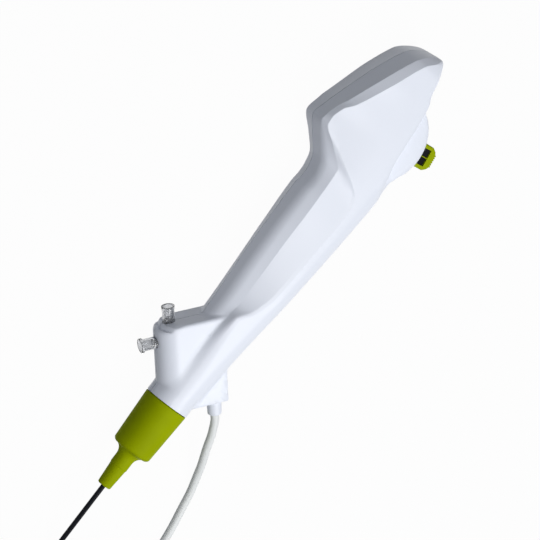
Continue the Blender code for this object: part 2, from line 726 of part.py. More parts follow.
def nose_sleeve(group):
    """Green sleeve with its nozzle; a spigot at the back slips into the shells."""
    bore = TUBE_RADIUS + GAP
    flare = SLEEVE_BODY_X - NOZZLE_LENGTH
    spigot = SLEEVE_RADIUS - WALL - GAP
    inner_back = SLEEVE_RADIUS - SLEEVE_WALL - 1.6 * MM
    end = NOSE_LENGTH + SPIGOT_LENGTH
    throat = SLEEVE_TIP_RADIUS - SLEEVE_WALL - 1.0 * MM
    outer = [(spigot, end), (spigot, NOSE_LENGTH), (SLEEVE_RADIUS, NOSE_LENGTH),
             (SLEEVE_TIP_RADIUS, SLEEVE_BODY_X), (SLEEVE_TIP_RADIUS - 0.5 * MM, SLEEVE_BODY_X - 0.7 * MM)]
    rise = SLEEVE_TIP_RADIUS - 1.6 * MM - NOZZLE_RADIUS
    for angle in range(0, 91, 18):
        turn = math.radians(angle)
        outer.append((NOZZLE_RADIUS + rise * (1 - math.sin(turn)),
                      NOZZLE_LENGTH + (flare - 1.2 * MM) * math.cos(turn)))
    outer += [(NOZZLE_RADIUS, 12.0 * MM), (NOZZLE_RADIUS - 0.25 * MM, 11.4 * MM),
              (NOZZLE_TIP_RADIUS + 0.2 * MM, 0.5 * MM), (NOZZLE_TIP_RADIUS - 0.4 * MM, 0.0)]
    inner = [(bore, 0.0), (bore, SLEEVE_BODY_X - 2 * SLEEVE_WALL), (throat, SLEEVE_BODY_X + SLEEVE_WALL),
             (inner_back, NOSE_LENGTH - SLEEVE_WALL), (spigot - SPIGOT_WALL, end)]
    turned("nose_sleeve", outer + inner, facing((1, 0, 0)), "green_plastic", group, 28)


def port(name, face, out, group, guides, lug_turn):
    """A clear port: hub with two lugs, tapered bore and a stem in the block."""
    top = PORT_LENGTH
    lip = top - PORT_LUG
    profile = [(PORT_RADIUS, top), (PORT_RADIUS, -PORT_SEAT), (CHANNEL_RADIUS, -PORT_SEAT),
               (CHANNEL_RADIUS, 0.12 * top), (PORT_BORE, 0.19 * top), (1.06 * PORT_BORE, top)]
    thing = turned(name, profile, facing(out, face), "clear_plastic", group, 24)
    place = facing(out, face) @ Matrix.Rotation(lug_turn, 4, "Z")
    lug_size = (2 * PORT_LUG_RADIUS, 1.1 * PORT_RADIUS, PORT_LUG)
    lugs = slab("guide_lugs_" + name, (0, 0, 0), lug_size, "clear_plastic", guides)
    bore = rod("guide_mouth_" + name, face + out * (lip - PORT_LUG), face + out * (top + PORT_LUG),
               (PORT_BORE + PORT_RADIUS) / 2, "clear_plastic", guides)
    lugs.matrix_world = place @ Matrix.Translation((0, 0, top - 0.52 * PORT_LUG))
    combine(lugs, bore, "DIFFERENCE")
    combine(thing, lugs, "UNION")
    return thing


def channel_parts(group, guides):
    """Manifold under the two ports and the channel tube that runs on to the nozzle."""
    top_port, side_port = port_axes()
    crossing = top_port - UP_PORT * PORT_SIDE_INSET
    seat = PORT_SEAT + GAP
    start = crossing - UP_PORT * 3 * PORT_RADIUS
    manifold = pipe("channel_manifold", start, top_port - UP_PORT * seat, PORT_RADIUS, CHANNEL_RADIUS,
                    "clear_plastic", group)
    branch = rod("guide_branch", crossing + SIDE_PORT * 1.2 * CHANNEL_RADIUS, side_port - SIDE_PORT * seat,
                 PORT_RADIUS - GAP / 3, "clear_plastic", guides, 22)
    branch_bore = rod("guide_branch_bore", crossing, side_port - SIDE_PORT * (seat - CHANNEL_RADIUS),
                      CHANNEL_RADIUS, "clear_plastic", guides)
    combine(manifold, branch, "UNION")
    combine(manifold, branch_bore, "DIFFERENCE")
    leave = start - UP_PORT * GAP
    low = Vector((TUBE_END_X + GAP, 0, 0))
    level = leave - UP_PORT * leave.y * math.sqrt(2)
    ahead = Vector((PORT_RADIUS, 0, 0))
    route = [leave, leave.lerp(level, 0.3), leave.lerp(level, 0.58), leave.lerp(level, 0.84) - 0.2 * ahead,
             level - 2 * ahead + Vector((0, GAP, 0)), level - 4.6 * ahead, low + 4 * ahead, low]
    cord("channel_tube", route, CHANNEL_RADIUS + 0.15 * MM, "clear_plastic", group)


def lever_parts(group, guides):
    """Axle, black arm with its hub, green thumb pad and the pulling wheel."""
    reach = Vector((0, 0, SIDE_HALF - WALL - 5 * GAP))
    rod("lever_axle", AXLE - reach, AXLE + reach, AXLE_RADIUS, "steel", group)
    place = Matrix.Translation(AXLE) @ Matrix.Rotation(math.radians(LEVER_ANGLE), 4, "Z")
    inner = BOSS_RADIUS + 2 * SLIDE
    outer = inner + PAD_DEPTH
    half_length = PAD_LENGTH / 2
    hollow = outer - PAD_PLATE

    tooth = PAD_LENGTH / PAD_TEETH
    outline = [(inner, -half_length), (inner, -half_length + PAD_WALL), (hollow, -half_length + PAD_WALL),
               (hollow, half_length - PAD_WALL), (inner, half_length - PAD_WALL), (inner, half_length)]
    for k in range(PAD_TEETH):
        base = half_length - tooth * k
        crown = outer - PAD_CROWN * ((base - tooth / 2) / half_length) ** 4
        outline += [(crown, base - 0.12 * tooth), (crown + TOOTH_HEIGHT, base - 0.38 * tooth),
                    (crown + TOOTH_HEIGHT, base - 0.62 * tooth), (crown, base - 0.88 * tooth)]
    rings = []
    for side in (-1, 1):
        for turn in ((0, 45, 90) if side < 0 else (90, 45, 0)):
            inset = PAD_SOFT * (1 - math.sin(math.radians(turn)))
            height = side * (PAD_HALF - PAD_SOFT * (1 - math.cos(math.radians(turn))))
            rings.append([(min(x, outer + TOOTH_HEIGHT - inset), y * (1 - inset / half_length), height)
                          for x, y in outline])
    pad = loft("lever_pad", rings, "green_plastic", group)
    pad.matrix_world = place

    core = hollow - GAP
    core_half = half_length - PAD_WALL - GAP
    root, end = 0.45 * HUB_RADIUS, (inner + core) / 2
    half = ARM_WIDTH / 2
    arm_outline = [(root, -half), (end, -half), (end, half), (root, half)]
    arm = extruded("lever_arm", arm_outline, -ARM_HALF, ARM_HALF, place, "black_plastic", group)
    block_outline = [(inner, -core_half), (core, -core_half), (core, core_half), (inner, core_half)]
    block_half = PAD_HALF - PAD_SIDE_INSET
    block = extruded("guide_arm_block", block_outline, -block_half, block_half, place, "black_plastic",
                     guides)
    depth = Vector((0, 0, ARM_HALF))
    hub = rod("guide_hub", AXLE - depth, AXLE + depth, HUB_RADIUS, "black_plastic", guides, 32)
    hole = rod("guide_hub_hole", AXLE - 2 * depth, AXLE + 2 * depth, AXLE_RADIUS + SLIDE, "black_plastic",
               guides, 32)
    combine(arm, block, "UNION")
    combine(arm, hub, "UNION")
    combine(arm, hole, "DIFFERENCE")
    third = WHEEL_THICKNESS / 3
    profile = [(WHEEL_RIM, WHEEL_THICKNESS), (WHEEL_RIM, 2.4 * third), (WHEEL_GROOVE, 2 * third),
               (WHEEL_GROOVE, third), (WHEEL_RIM, 0.6 * third), (WHEEL_RIM, 0.0), (AXLE_RADIUS + SLIDE, 0.0),
               (AXLE_RADIUS + SLIDE, WHEEL_THICKNESS)]
    wheel_place = Matrix.Translation(AXLE + Vector((0, 0, ARM_HALF + GAP)))
    turned("pull_wheel", profile, wheel_place, "grey_plastic", group, 28)


def wire_parts(group, guides):
    """Two pulling wires, the block they enter and the guide tubes to the nose."""
    height = ARM_HALF + GAP + WHEEL_THICKNESS / 2
    run = WHEEL_RIM + WIRE_RADIUS + GAP
    travel = math.radians(LEVER_SWING) * run + SLIDE
    block_x = along(0.754)
    block = slab("wire_guide_block", (block_x, AXLE_Y, height), GUIDE_BLOCK, "grey_plastic", group,
                 GUIDE_SOFT)
    depth = Vector((GUIDE_BLOCK[0], 0, 0))
    for sign, side in ((1, "upper"), (-1, "lower")):
        y = AXLE_Y + sign * run
        entry = Vector((block_x, y, height)) - depth / 2
        start = entry + Vector((travel, 0, 0))
        rod(f"pull_wire_{side}", start, Vector((AXLE_X + AXLE_RADIUS, y, height)), WIRE_RADIUS, "steel",
            group, 12)
        hole = rod(f"guide_wire_hole_{side}", entry - depth, entry + 2 * depth, WIRE_RADIUS + SLIDE,
                   "grey_plastic", guides)
        combine(block, hole, "DIFFERENCE")
        mouth = entry - Vector((GAP, 0, 0))
        route = [mouth, mouth - depth]
        for share, middle, across, up in ((0.473, 0.6, 0.81, 0.8), (0.287, 0.0, 0.39, 0.524),
                                          (0.126, 0.0, 0.32, 0.619)):
            route.append(Vector((along(share), middle * AXLE_Y + sign * across * run, up * height)))
        route.append(Vector((SLEEVE_BODY_X + 3 * SLEEVE_WALL, sign * 0.28 * run, 0.571 * height)))
        cord(f"wire_guide_{side}", route, GUIDE_RADIUS, "steel", group)


def electronics(group):
    """Circuit board on the side wall of the head, with three chips."""
    board_z = -SIDE_HALF + WALL + BOARD_RISE
    centre = Vector((AXLE_X + AXLE_RADIUS + CHIP_SIZE + BOARD_LENGTH / 2, BOARD_WIDTH / 3, board_z))
    slab("circuit_board", centre, (BOARD_LENGTH, BOARD_WIDTH, BOARD_THICKNESS), "board", group)
    top = board_z + BOARD_THICKNESS / 2 + GAP / 2
    chips = ((-0.28, 0.16, CHIP_SIZE, CHIP_HEIGHT), (0.12, -0.2, 0.7 * CHIP_SIZE, 0.8 * CHIP_HEIGHT),
             (0.36, 0.12, 0.5 * CHIP_SIZE, 1.6 * CHIP_HEIGHT))
    for k, (along, across, size, tall) in enumerate(chips):
        place = (centre.x + along * BOARD_LENGTH, centre.y + across * BOARD_WIDTH, top + tall / 2)
        slab(f"board_chip_{k + 1}", place, (size, size, tall), "black_plastic", group)


# Cords: the insertion tube at the nozzle, the video cable at the collar

TUBE_Z = REST + TUBE_RADIUS + LIFT
CABLE_Z = REST + CABLE_RADIUS + LIFT
FALL = 0.657                      # sideways drift per drop that keeps a falling cord straight in the view
TUBE_LAY_Y = FALL * TUBE_Z
TUBE_COIL = Vector((TUBE_COIL_X, TUBE_LAY_Y - TUBE_COIL_RADIUS, REST + TUBE_COIL_SECTION + LIFT))
CABLE_COIL = Vector((CABLE_COIL_X, CABLE_COIL_Y, REST + CABLE_COIL_SECTION + LIFT))


def coil_reach(radius, section, cord_radius):
    """How far along its tangent a coil's solid keeps a straight cord on the table away."""
    reach = 0.0
    for angle in range(-90, 95, 5):
        above_table = cord_radius * (1 + math.sin(math.radians(angle)))
        inward = cord_radius * math.cos(math.radians(angle))
        half = math.sqrt(max(section ** 2 - (section - above_table) ** 2, 0.0))
        reach = max(reach, math.sqrt((radius + half) ** 2 - (radius - inward) ** 2))
    return reach


def tube_route():
    """The insertion tube falls to the table and runs on to its coil."""
    falls = ((TUBE_END_X, 0.0), (2 * MM, 0.0), (-8 * MM, 0.035), (-20 * MM, 0.2), (-34 * MM, 0.56),
             (-48 * MM, 0.88), (-58 * MM, 0.985), (-66 * MM, 1.0))
    route = [Vector((x, FALL * TUBE_Z * share, TUBE_Z * share)) for x, share in falls]
    end = TUBE_COIL.x + coil_reach(TUBE_COIL_RADIUS, TUBE_COIL_SECTION, TUBE_RADIUS) + GAP
    return route + [Vector((end, TUBE_LAY_Y, TUBE_Z))]


def cable_route():
    """The video cable leaves its collar, falls to the table and runs on to its coil."""
    start = collar_axis() - UP_PORT * (COLLAR_LENGTH + 1.5 * GAP)
    end_x = CABLE_COIL.x + coil_reach(CABLE_COIL_RADIUS, CABLE_COIL_SECTION, CABLE_RADIUS) + GAP
    end_y = CABLE_COIL.y + CABLE_COIL_RADIUS
    falls = ((-5.8, -4.6, -0.5), (-9.8, -7.3, -1.6), (-14.8, -10.3, -3.4), (-19.8, -13.9, -5.7),
             (-24.8, -17.6, -8.0), (-29.8, -20.7, -10.2), (-34.8, -23.4, -11.8), (-39.8, -25.6, -12.8),
             (-49.8, -28.0, -13.3), (-59.8, -30.1, -13.3))
    route = [start, start - UP_PORT * 1.3 * CABLE_RADIUS]
    for fall in falls:
        place = start + Vector(fall) * MM
        route.append(Vector((place.x, place.y, max(place.z, CABLE_Z))))
    return route + [Vector((end_x, end_y, CABLE_Z))]


def ring(name, centre, radius, section, finish, group):
    """The closed solid of a coil."""
    profile = [(radius + section * math.cos(math.radians(a)), section * math.sin(math.radians(a)))
               for a in range(72, -288, -36)]
    return turned(name, profile, Matrix.Translation(centre), finish, group, 32)


def cord_parts(group):
    cord("insertion_tube", tube_route(), TUBE_RADIUS, "black_sheath", group)
    ring("insertion_tube_coil", TUBE_COIL, TUBE_COIL_RADIUS, TUBE_COIL_SECTION, "black_sheath", group)
    cord("video_cable", cable_route(), CABLE_RADIUS, "cable_jacket", group)
    ring("video_cable_coil", CABLE_COIL, CABLE_COIL_RADIUS, CABLE_COIL_SECTION, "cable_jacket", group)


def collar_parts(group):
    """Strain relief collar in the wedge, and the clamp that holds the cable inside."""
    face = collar_axis()
    down = -UP_PORT
    bore = 0.55 * COLLAR_STEM
    profile = [(0.86 * COLLAR_RADIUS, COLLAR_LENGTH), (0.96 * COLLAR_RADIUS, 0.94 * COLLAR_LENGTH),
               (COLLAR_RADIUS, GAP), (COLLAR_STEM, GAP), (COLLAR_STEM, -COLLAR_SEAT), (bore, -COLLAR_SEAT),
               (bore, COLLAR_LENGTH)]
    turned("cable_collar", profile, facing(down, face), "white_plastic", group, 24)
    near, far = -COLLAR_SEAT - GAP, -COLLAR_SEAT - CLAMP_WIDTH
    clamp = [(COLLAR_STEM, near), (COLLAR_STEM, far), (COLLAR_STEM - CLAMP_WALL, far),
             (COLLAR_STEM - CLAMP_WALL, near)]
    turned("cable_clamp", clamp, facing(down, face), "grey_plastic", group, 24)


# Bending section: one link per hinge, laid along -Y on the table

COIL_REACH = coil_reach(TUBE_COIL_RADIUS, TUBE_COIL_SECTION, TUBE_RADIUS)
BEND_START_Y = TUBE_COIL.y - COIL_REACH - TAIL_LENGTH - BASE_LENGTH - 3 * GAP


def bend_frame(k):
    """Place of hinge k at rest; local +X runs towards the tip and local +Z is the hinge axis."""
    height = REST + TIP_RADIUS + 2 * LIFT
    place = Vector((TUBE_COIL.x - TUBE_COIL_RADIUS, BEND_START_Y - LINK_PITCH * k, height))
    return Matrix.Translation(place) @ Matrix.Rotation(-math.pi / 2, 4, "Z")


def link_body(name, back, front, radius, tongue, ears, place, finish, group, guides):
    """A short round link with a tongue at its back hinge and two ears at its front hinge."""
    start = back + (LINK_NECK if tongue else 0.0)
    end = front - (LINK_NECK if ears else 0.0)
    profile = [(0.0, end), (radius, end), (radius, start), (0.0, start)]
    body = turned(name, profile, place @ facing((1, 0, 0)), finish, group, 12)
    inner, outer = TONGUE_HALF + EAR_GAP, LINK_RADIUS - FIT
    pieces = []
    if tongue:
        pieces.append(("tongue", -1, back, start, -TONGUE_HALF, TONGUE_HALF))
    if ears:
        pieces.append(("ear_up", 1, front, end, inner, outer))
        pieces.append(("ear_down", 1, front, end, -outer, -inner))
    for label, way, hinge, root, low, high in pieces:
        round_end = [(hinge + way * KNUCKLE * math.cos(math.radians(a)), KNUCKLE * math.sin(math.radians(a)))
                     for a in range(-90, 91, 45)]
        sunk = root - way * GAP
        piece = extruded(f"guide_{label}_{name}", round_end + [(sunk, KNUCKLE), (sunk, -KNUCKLE)],
                         low, high, place, finish, guides)
        combine(body, piece, "UNION")
    return body


def bending_parts(group, guides):
    """Tail of the insertion tube, base, links and the tip with its windows."""
    tail_x = TUBE_COIL.x - TUBE_COIL_RADIUS
    tail_start = Vector((tail_x, TUBE_COIL.y - COIL_REACH - GAP, TUBE_Z))
    tail_end = tail_start + Vector((0, -TAIL_LENGTH, bend_frame(0).translation.z - TUBE_Z))
    cord("insertion_tube_tail", [tail_start, tail_start.lerp(tail_end, 0.5), tail_end], TUBE_RADIUS,
         "black_sheath", group)
    link_body("bend_base", -BASE_LENGTH, 0.0, LINK_RADIUS, False, True, bend_frame(0), "steel", group,
              guides)
    for k in range(LINK_COUNT):
        link_body(f"bend_link_{k + 1:02d}", 0.0, LINK_PITCH, LINK_RADIUS, True, True, bend_frame(k),
                  "steel", group, guides)
    place = bend_frame(LINK_COUNT)
    tip = link_body("tip_housing", 0.0, TIP_LENGTH, TIP_RADIUS, True, False, place, "black_plastic", group,
                    guides)
    windows = (("camera_window", 0.46, 0.0, LENS_RADIUS, "lens_glass"),
               ("tip_light_left", -0.1, 0.62, LIGHT_RADIUS, "light_window"),
               ("tip_light_right", -0.1, -0.62, LIGHT_RADIUS, "light_window"))
    front = Vector((TIP_LENGTH, 0, 0))
    inwards = Vector((-1, 0, 0))
    for name, up, across, radius, finish in windows:
        depth = 4 * radius
        face = front + TIP_RADIUS * Vector((0, across, up))
        hole = rod("guide_" + name, -inwards * radius, inwards * (depth + FIT), radius + FIT, finish,
                   guides, 16)
        hole.matrix_world = place @ Matrix.Translation(face) @ facing(inwards, -inwards * radius)
        combine(tip, hole, "DIFFERENCE")
        glass = rod(name, Vector((0, 0, 0)), inwards * (depth - FIT), radius, finish, group, 16)
        glass.matrix_world = place @ Matrix.Translation(face + inwards * FIT) @ facing(inwards)
    outlet = rod("guide_outlet", -inwards * OUTLET_RADIUS, inwards * TIP_LENGTH / 2, OUTLET_RADIUS, "steel",
                 guides, 16)
    outlet.matrix_world = (place @ Matrix.Translation(front - Vector((0, 0, TIP_RADIUS / 2)))
                           @ facing(inwards, -inwards * OUTLET_RADIUS))
    combine(tip, outlet, "DIFFERENCE")


def plug_parts(group):
    """Plug at the far end of the video cable, with its boot and connector nose."""
    start_x = CABLE_COIL.x + coil_reach(CABLE_COIL_RADIUS, CABLE_COIL_SECTION, CABLE_RADIUS) + GAP
    y = CABLE_COIL.y - CABLE_COIL_RADIUS
    plug_z = REST + PLUG_SIZE[2] / 2 + LIFT
    tail_end = Vector((start_x + PLUG_TAIL, y, plug_z))
    start = Vector((start_x, y, CABLE_Z))
    forward = Vector((PLUG_TAIL, 0, 0))
    route = [start, start + 0.2 * forward, tail_end - 0.2 * forward, tail_end]
    cord("video_cable_tail", route, CABLE_RADIUS, "cable_jacket", group, spacing=PLUG_TAIL / 5)
    boot_start = tail_end + Vector((GAP, 0, 0))
    big, small = 0.46 * PLUG_SIZE[2], 1.19 * CABLE_RADIUS
    profile = [(0.0, PLUG_BOOT_LENGTH), (big, PLUG_BOOT_LENGTH), (big, 0.77 * PLUG_BOOT_LENGTH),
               (small, 0.0), (0.0, 0.0)]
    turned("plug_boot", profile, facing((1, 0, 0), boot_start), "grey_plastic", group, 24)
    body_x = boot_start.x + PLUG_BOOT_LENGTH + GAP + PLUG_SIZE[0] / 2
    slab("plug_housing", (body_x, y, plug_z), PLUG_SIZE, "white_plastic", group, PLUG_ROUND)
    nose_x = body_x + PLUG_SIZE[0] / 2 + GAP + PLUG_NOSE[0] / 2
    slab("plug_connector", (nose_x, y, plug_z), PLUG_NOSE, "gold", group, GAP)


def centre_on_floor(group):
    """Stand the object on z = 0, centred on the handle without its cords."""
    bpy.context.view_layer.update()
    corners = []
    for thing in group.objects:
        if thing.name in HANDLE_BOX_NODES:
            corners += [thing.matrix_world @ Vector(c) for c in thing.bound_box]
    middle = [(min(c[i] for c in corners) + max(c[i] for c in corners)) / 2 for i in (0, 1)]
    shift = Matrix.Translation((-middle[0], -middle[1], SIDE_HALF))
    for thing in bpy.data.objects:
        thing.matrix_world = shift @ thing.matrix_world


HANDLE_BOX_NODES = ("upper_shell", "lower_shell", "nose_sleeve", "lever_pad", "upper_port", "side_port")


def build():
    clear_scene()
    group = new_collection("flexible_endoscope")
    guides = new_collection("guides")
    handle_shells(group, guides)
    nose_sleeve(group)
    top_port, side_port = port_axes()
    port("upper_port", top_port, UP_PORT, group, guides, 0.0)
    port("side_port", side_port, SIDE_PORT, group, guides, math.pi / 2)
    channel_parts(group, guides)
    lever_parts(group, guides)
    wire_parts(group, guides)
    electronics(group)
    collar_parts(group)
    cord_parts(group)
    bending_parts(group, guides)
    plug_parts(group)
    centre_on_floor(group)


build()
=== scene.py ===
"""Flexible endoscope in a pale studio: pistol-like handle, thumb lever, ports, thin tube and video cable.

The handle's own axes are +X from the nozzle to the head, +Y to the finger side and +Z up from the
parting plane of its two shells. All lengths are in metres.
"""
import json
import math

import bmesh
import bpy
from bpy.props import FloatProperty, FloatVectorProperty, IntProperty, PointerProperty
from mathutils import Matrix, Vector


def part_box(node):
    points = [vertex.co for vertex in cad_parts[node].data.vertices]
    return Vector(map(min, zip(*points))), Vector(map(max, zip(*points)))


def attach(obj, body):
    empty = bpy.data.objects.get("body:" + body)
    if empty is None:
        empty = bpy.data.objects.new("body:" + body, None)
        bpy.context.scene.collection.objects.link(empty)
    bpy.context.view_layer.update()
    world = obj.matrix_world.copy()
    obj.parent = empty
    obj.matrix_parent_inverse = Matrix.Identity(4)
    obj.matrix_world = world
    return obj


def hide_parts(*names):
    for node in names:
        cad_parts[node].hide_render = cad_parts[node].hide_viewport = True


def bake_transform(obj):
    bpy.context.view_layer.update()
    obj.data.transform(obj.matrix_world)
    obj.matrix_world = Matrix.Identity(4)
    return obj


bl_info = {
    "name": "Flexible Endoscope",
    "version": (1, 0, 0),
    "blender": (4, 5, 0),
    "location": "View3D > Sidebar > Endoscope",
    "description": "Builds the shells, sleeve, ports, lever, cords and stage of a flexible endoscope",
    "category": "Add Mesh",
}

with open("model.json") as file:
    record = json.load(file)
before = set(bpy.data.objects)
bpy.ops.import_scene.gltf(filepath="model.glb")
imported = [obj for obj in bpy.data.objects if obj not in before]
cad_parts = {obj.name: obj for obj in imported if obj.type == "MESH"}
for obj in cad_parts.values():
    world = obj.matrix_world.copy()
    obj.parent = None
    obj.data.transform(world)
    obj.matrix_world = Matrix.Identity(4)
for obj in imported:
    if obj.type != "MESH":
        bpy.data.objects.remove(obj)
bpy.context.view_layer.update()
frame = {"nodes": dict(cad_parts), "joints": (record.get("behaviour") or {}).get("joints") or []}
MM = 0.001


# Sizes taken from the frame

SIDE_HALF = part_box("upper_shell")[1][2] / 2
AXLE_Y = -2.5 * MM
AXLE_LOW, AXLE_HIGH = (Vector(corner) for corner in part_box("lever_axle"))
AXLE_WORLD = (AXLE_LOW + AXLE_HIGH) / 2
SLEEVE_LOW = Vector(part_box("nose_sleeve")[0])
SHELL_LOW, SHELL_HIGH = (Vector(corner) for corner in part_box("upper_shell"))

# From the handle's axes to the frame's
SHIFT = Vector((SLEEVE_LOW.x, AXLE_WORLD.y - AXLE_Y, SIDE_HALF))

HANDLE_LENGTH = SHELL_HIGH.x - SLEEVE_LOW.x
JOINT_X = SHELL_LOW.x - SHIFT.x
BARREL_LENGTH = 5.6 * MM
NOSE_LENGTH = JOINT_X - 0.3 * MM
RIM_X = NOSE_LENGTH - BARREL_LENGTH
AXLE_X = AXLE_WORLD.x - SHIFT.x
AXLE = Vector((AXLE_X, AXLE_Y, 0.0))
HEAD_LENGTH = 83.5 * MM
BEAK_BACK = 58.0 * MM
CREST_BACK = 45.5 * MM
GRIP_FRONT = 18.7 * MM
GRIP_BACK = 20.6 * MM
HOLLOW_Y = 17.8 * MM
BEAK_Y = 34.6 * MM
CREST_Y = 30.8 * MM
RIDGE_STEP = 0.45 * MM
BEAK_BLEND = 8.0 * MM             # over which the grip's section turns into the head's
CHAMFER = 2.8 * MM
PALM_ROUND = 12.0 * MM
PALM_STEP = 30                    # degrees between the corners of the palm's round
NOSE_STEP = 22.5                  # degrees between the corners of the round nose
FINGER_ROUND = 9.0 * MM
LEAN_SOFT = 9.0 * MM              # over which the side starts to lean in
BOSS_EDGE = 1.8 * MM
BOSS_RADIUS = 23.0 * MM
BOSS_HALF = 9.5 * MM
WALL = 2.2 * MM
SLEEVE_RADIUS = 11.8 * MM
SLEEVE_TIP_RADIUS = 10.4 * MM
SLEEVE_BODY_X = 22.5 * MM
NOZZLE_LENGTH = 16.5 * MM
NOZZLE_RADIUS = 4.7 * MM
NOZZLE_TIP_RADIUS = 3.6 * MM
BLOCK_RUN = 21.6 * MM
BLOCK_HALF = 9.4 * MM
BLOCK_EDGE = 1.5 * MM
BLOCK_NOSE = 5.0 * MM
WEDGE_RUN = 13.2 * MM
WEDGE_HALF = 6.5 * MM
WEDGE_EDGE = 1.1 * MM
PORT_TOP_INSET = 7.8 * MM
PORT_SIDE_INSET = 9.6 * MM
PORT_LENGTH = 8.0 * MM
PORT_RADIUS = 3.05 * MM
PORT_LUG_RADIUS = 3.92 * MM
COLLAR_LENGTH = 8.0 * MM
COLLAR_RADIUS = 3.7 * MM
COLLAR_INSET = 5.4 * MM
LEVER_ANGLE = -81.0
LEVER_SWING = 28.0
ARM_HALF = 2.4 * MM
ARM_WIDTH = 5.0 * MM
SLIDE = 0.35 * MM
PAD_LENGTH = 12.6 * MM
PAD_DEPTH = 8.2 * MM
PAD_HALF = 6.0 * MM
PAD_PLATE = 3.4 * MM
PAD_WALL = 1.3 * MM
PAD_EDGE = 0.8 * MM
PAD_RISE = 0.4 * MM
TUBE_RADIUS = 1.25 * MM
CABLE_RADIUS = 2.15 * MM
TUBE_COIL_X = -88.0 * MM
TUBE_COIL_RADIUS = 21.0 * MM
CABLE_COIL_X = -38.0 * MM
CABLE_COIL_Y = -86.0 * MM
CABLE_COIL_RADIUS = 28.0 * MM
REST = -SIDE_HALF
LIFT = 0.05 * MM
LINK_PITCH = 4.0 * MM
LINK_COUNT = 9
FINE_GRAIN = 0.25 * MM
CLOUD_GRAINS = 60                 # grains across one patch of tint

UP_PORT = Vector((1, 1, 0)).normalized()
SIDE_PORT = Vector((-1, 1, 0)).normalized()
BLOCK_CORNER = Vector((JOINT_X + BLOCK_RUN, SLEEVE_RADIUS - 0.1 * MM + BLOCK_RUN, 0.0))
WEDGE_CORNER = Vector((JOINT_X + WEDGE_RUN, 0.6 * MM - SLEEVE_RADIUS - WEDGE_RUN, 0.0))


# Curves and sections of the handle

def smooth_curve(points):
    """Interpolate a list of (x, value) without overshoot."""
    xs = [p[0] for p in points]
    ys = [p[1] for p in points]
    steps = [(ys[i + 1] - ys[i]) / (xs[i + 1] - xs[i]) for i in range(len(xs) - 1)]
    slopes = [steps[0]]
    for before, after in zip(steps, steps[1:]):
        slopes.append(0.0 if before * after <= 0 else 2 * before * after / (before + after))
    slopes.append(steps[-1])

    def value(x):
        x = min(max(x, xs[0]), xs[-1])
        i = max(k for k in range(len(xs) - 1) if xs[k] <= x)
        width = xs[i + 1] - xs[i]
        t = (x - xs[i]) / width
        rise = (1 + 2 * t) * (1 - t) ** 2 * ys[i] + t * t * (3 - 2 * t) * ys[i + 1]
        return rise + width * (t * (1 - t) ** 2 * slopes[i] - t * t * (1 - t) * slopes[i + 1])
    return value


END_X = HANDLE_LENGTH
HOLLOW_X = END_X - HEAD_LENGTH
BEAK_X = END_X - BEAK_BACK
CREST_X = END_X - CREST_BACK


def along(share):
    """A place on the handle: 0 at the sleeve, 1 at the finger hollow, 2 at the far end."""
    if share <= 1:
        return JOINT_X + share * (HOLLOW_X - JOINT_X)
    return HOLLOW_X + (share - 1) * HEAD_LENGTH


def outline(points, unit):
    """A curve through (share of the handle, multiple of a size)."""
    return smooth_curve([(along(share), multiple * unit) for share, multiple in points])


GRIP_TOP_X = along(0.94)
HEAD_X = along(1.114)


def front_outline():
    """Finger side on the parting plane, from the nose to the far end of the head."""
    top = END_X - CREST_X
    hollow = BEAK_X - HOLLOW_X
    rise = BEAK_Y - HOLLOW_Y
    return smooth_curve([
        (JOINT_X, SLEEVE_RADIUS),
        (JOINT_X + 0.34 * (GRIP_TOP_X - JOINT_X), SLEEVE_RADIUS + 0.5 * (GRIP_FRONT - SLEEVE_RADIUS)),
        (GRIP_TOP_X, GRIP_FRONT),
        (HOLLOW_X, HOLLOW_Y),
        (HOLLOW_X + 0.30 * hollow, HOLLOW_Y + 0.10 * rise),
        (HOLLOW_X + 0.64 * hollow, HOLLOW_Y + 0.54 * rise),
        (HOLLOW_X + 0.90 * hollow, HOLLOW_Y + 0.92 * rise),
        (BEAK_X, BEAK_Y),
        (BEAK_X + 0.4 * (CREST_X - BEAK_X), BEAK_Y - 0.35 * (BEAK_Y - CREST_Y)),
        (CREST_X, CREST_Y),
        (CREST_X + 0.82 * top, 0.47 * CREST_Y),
        (CREST_X + 0.90 * top, 0.36 * CREST_Y),
        (CREST_X + 0.96 * top, 0.22 * CREST_Y),
        (END_X, 0.09 * CREST_Y)])


def by_axle(out, across):
    """A place by the axle, in multiples of the boss's radius."""
    return AXLE_X + out * BOSS_RADIUS, AXLE_Y + across * BOSS_RADIUS


def back_outline():
    """Palm side on the parting plane, with the boss that covers the pulling wheel."""
    points = [(JOINT_X, -SLEEVE_RADIUS), (along(0.24), -0.65 * GRIP_BACK), (GRIP_TOP_X, -GRIP_BACK),
              (HEAD_X, -1.044 * GRIP_BACK), (along(1.234), -GRIP_BACK)]
    for angle in (-123, -110, -90, -75, -60, -46, -34, -24):
        turn = math.radians(angle)
        points.append(by_axle(math.cos(turn), math.sin(turn)))
    points += [(along(1.856), -0.214 * GRIP_BACK), (END_X, -0.02 * GRIP_BACK)]
    return smooth_curve(points)


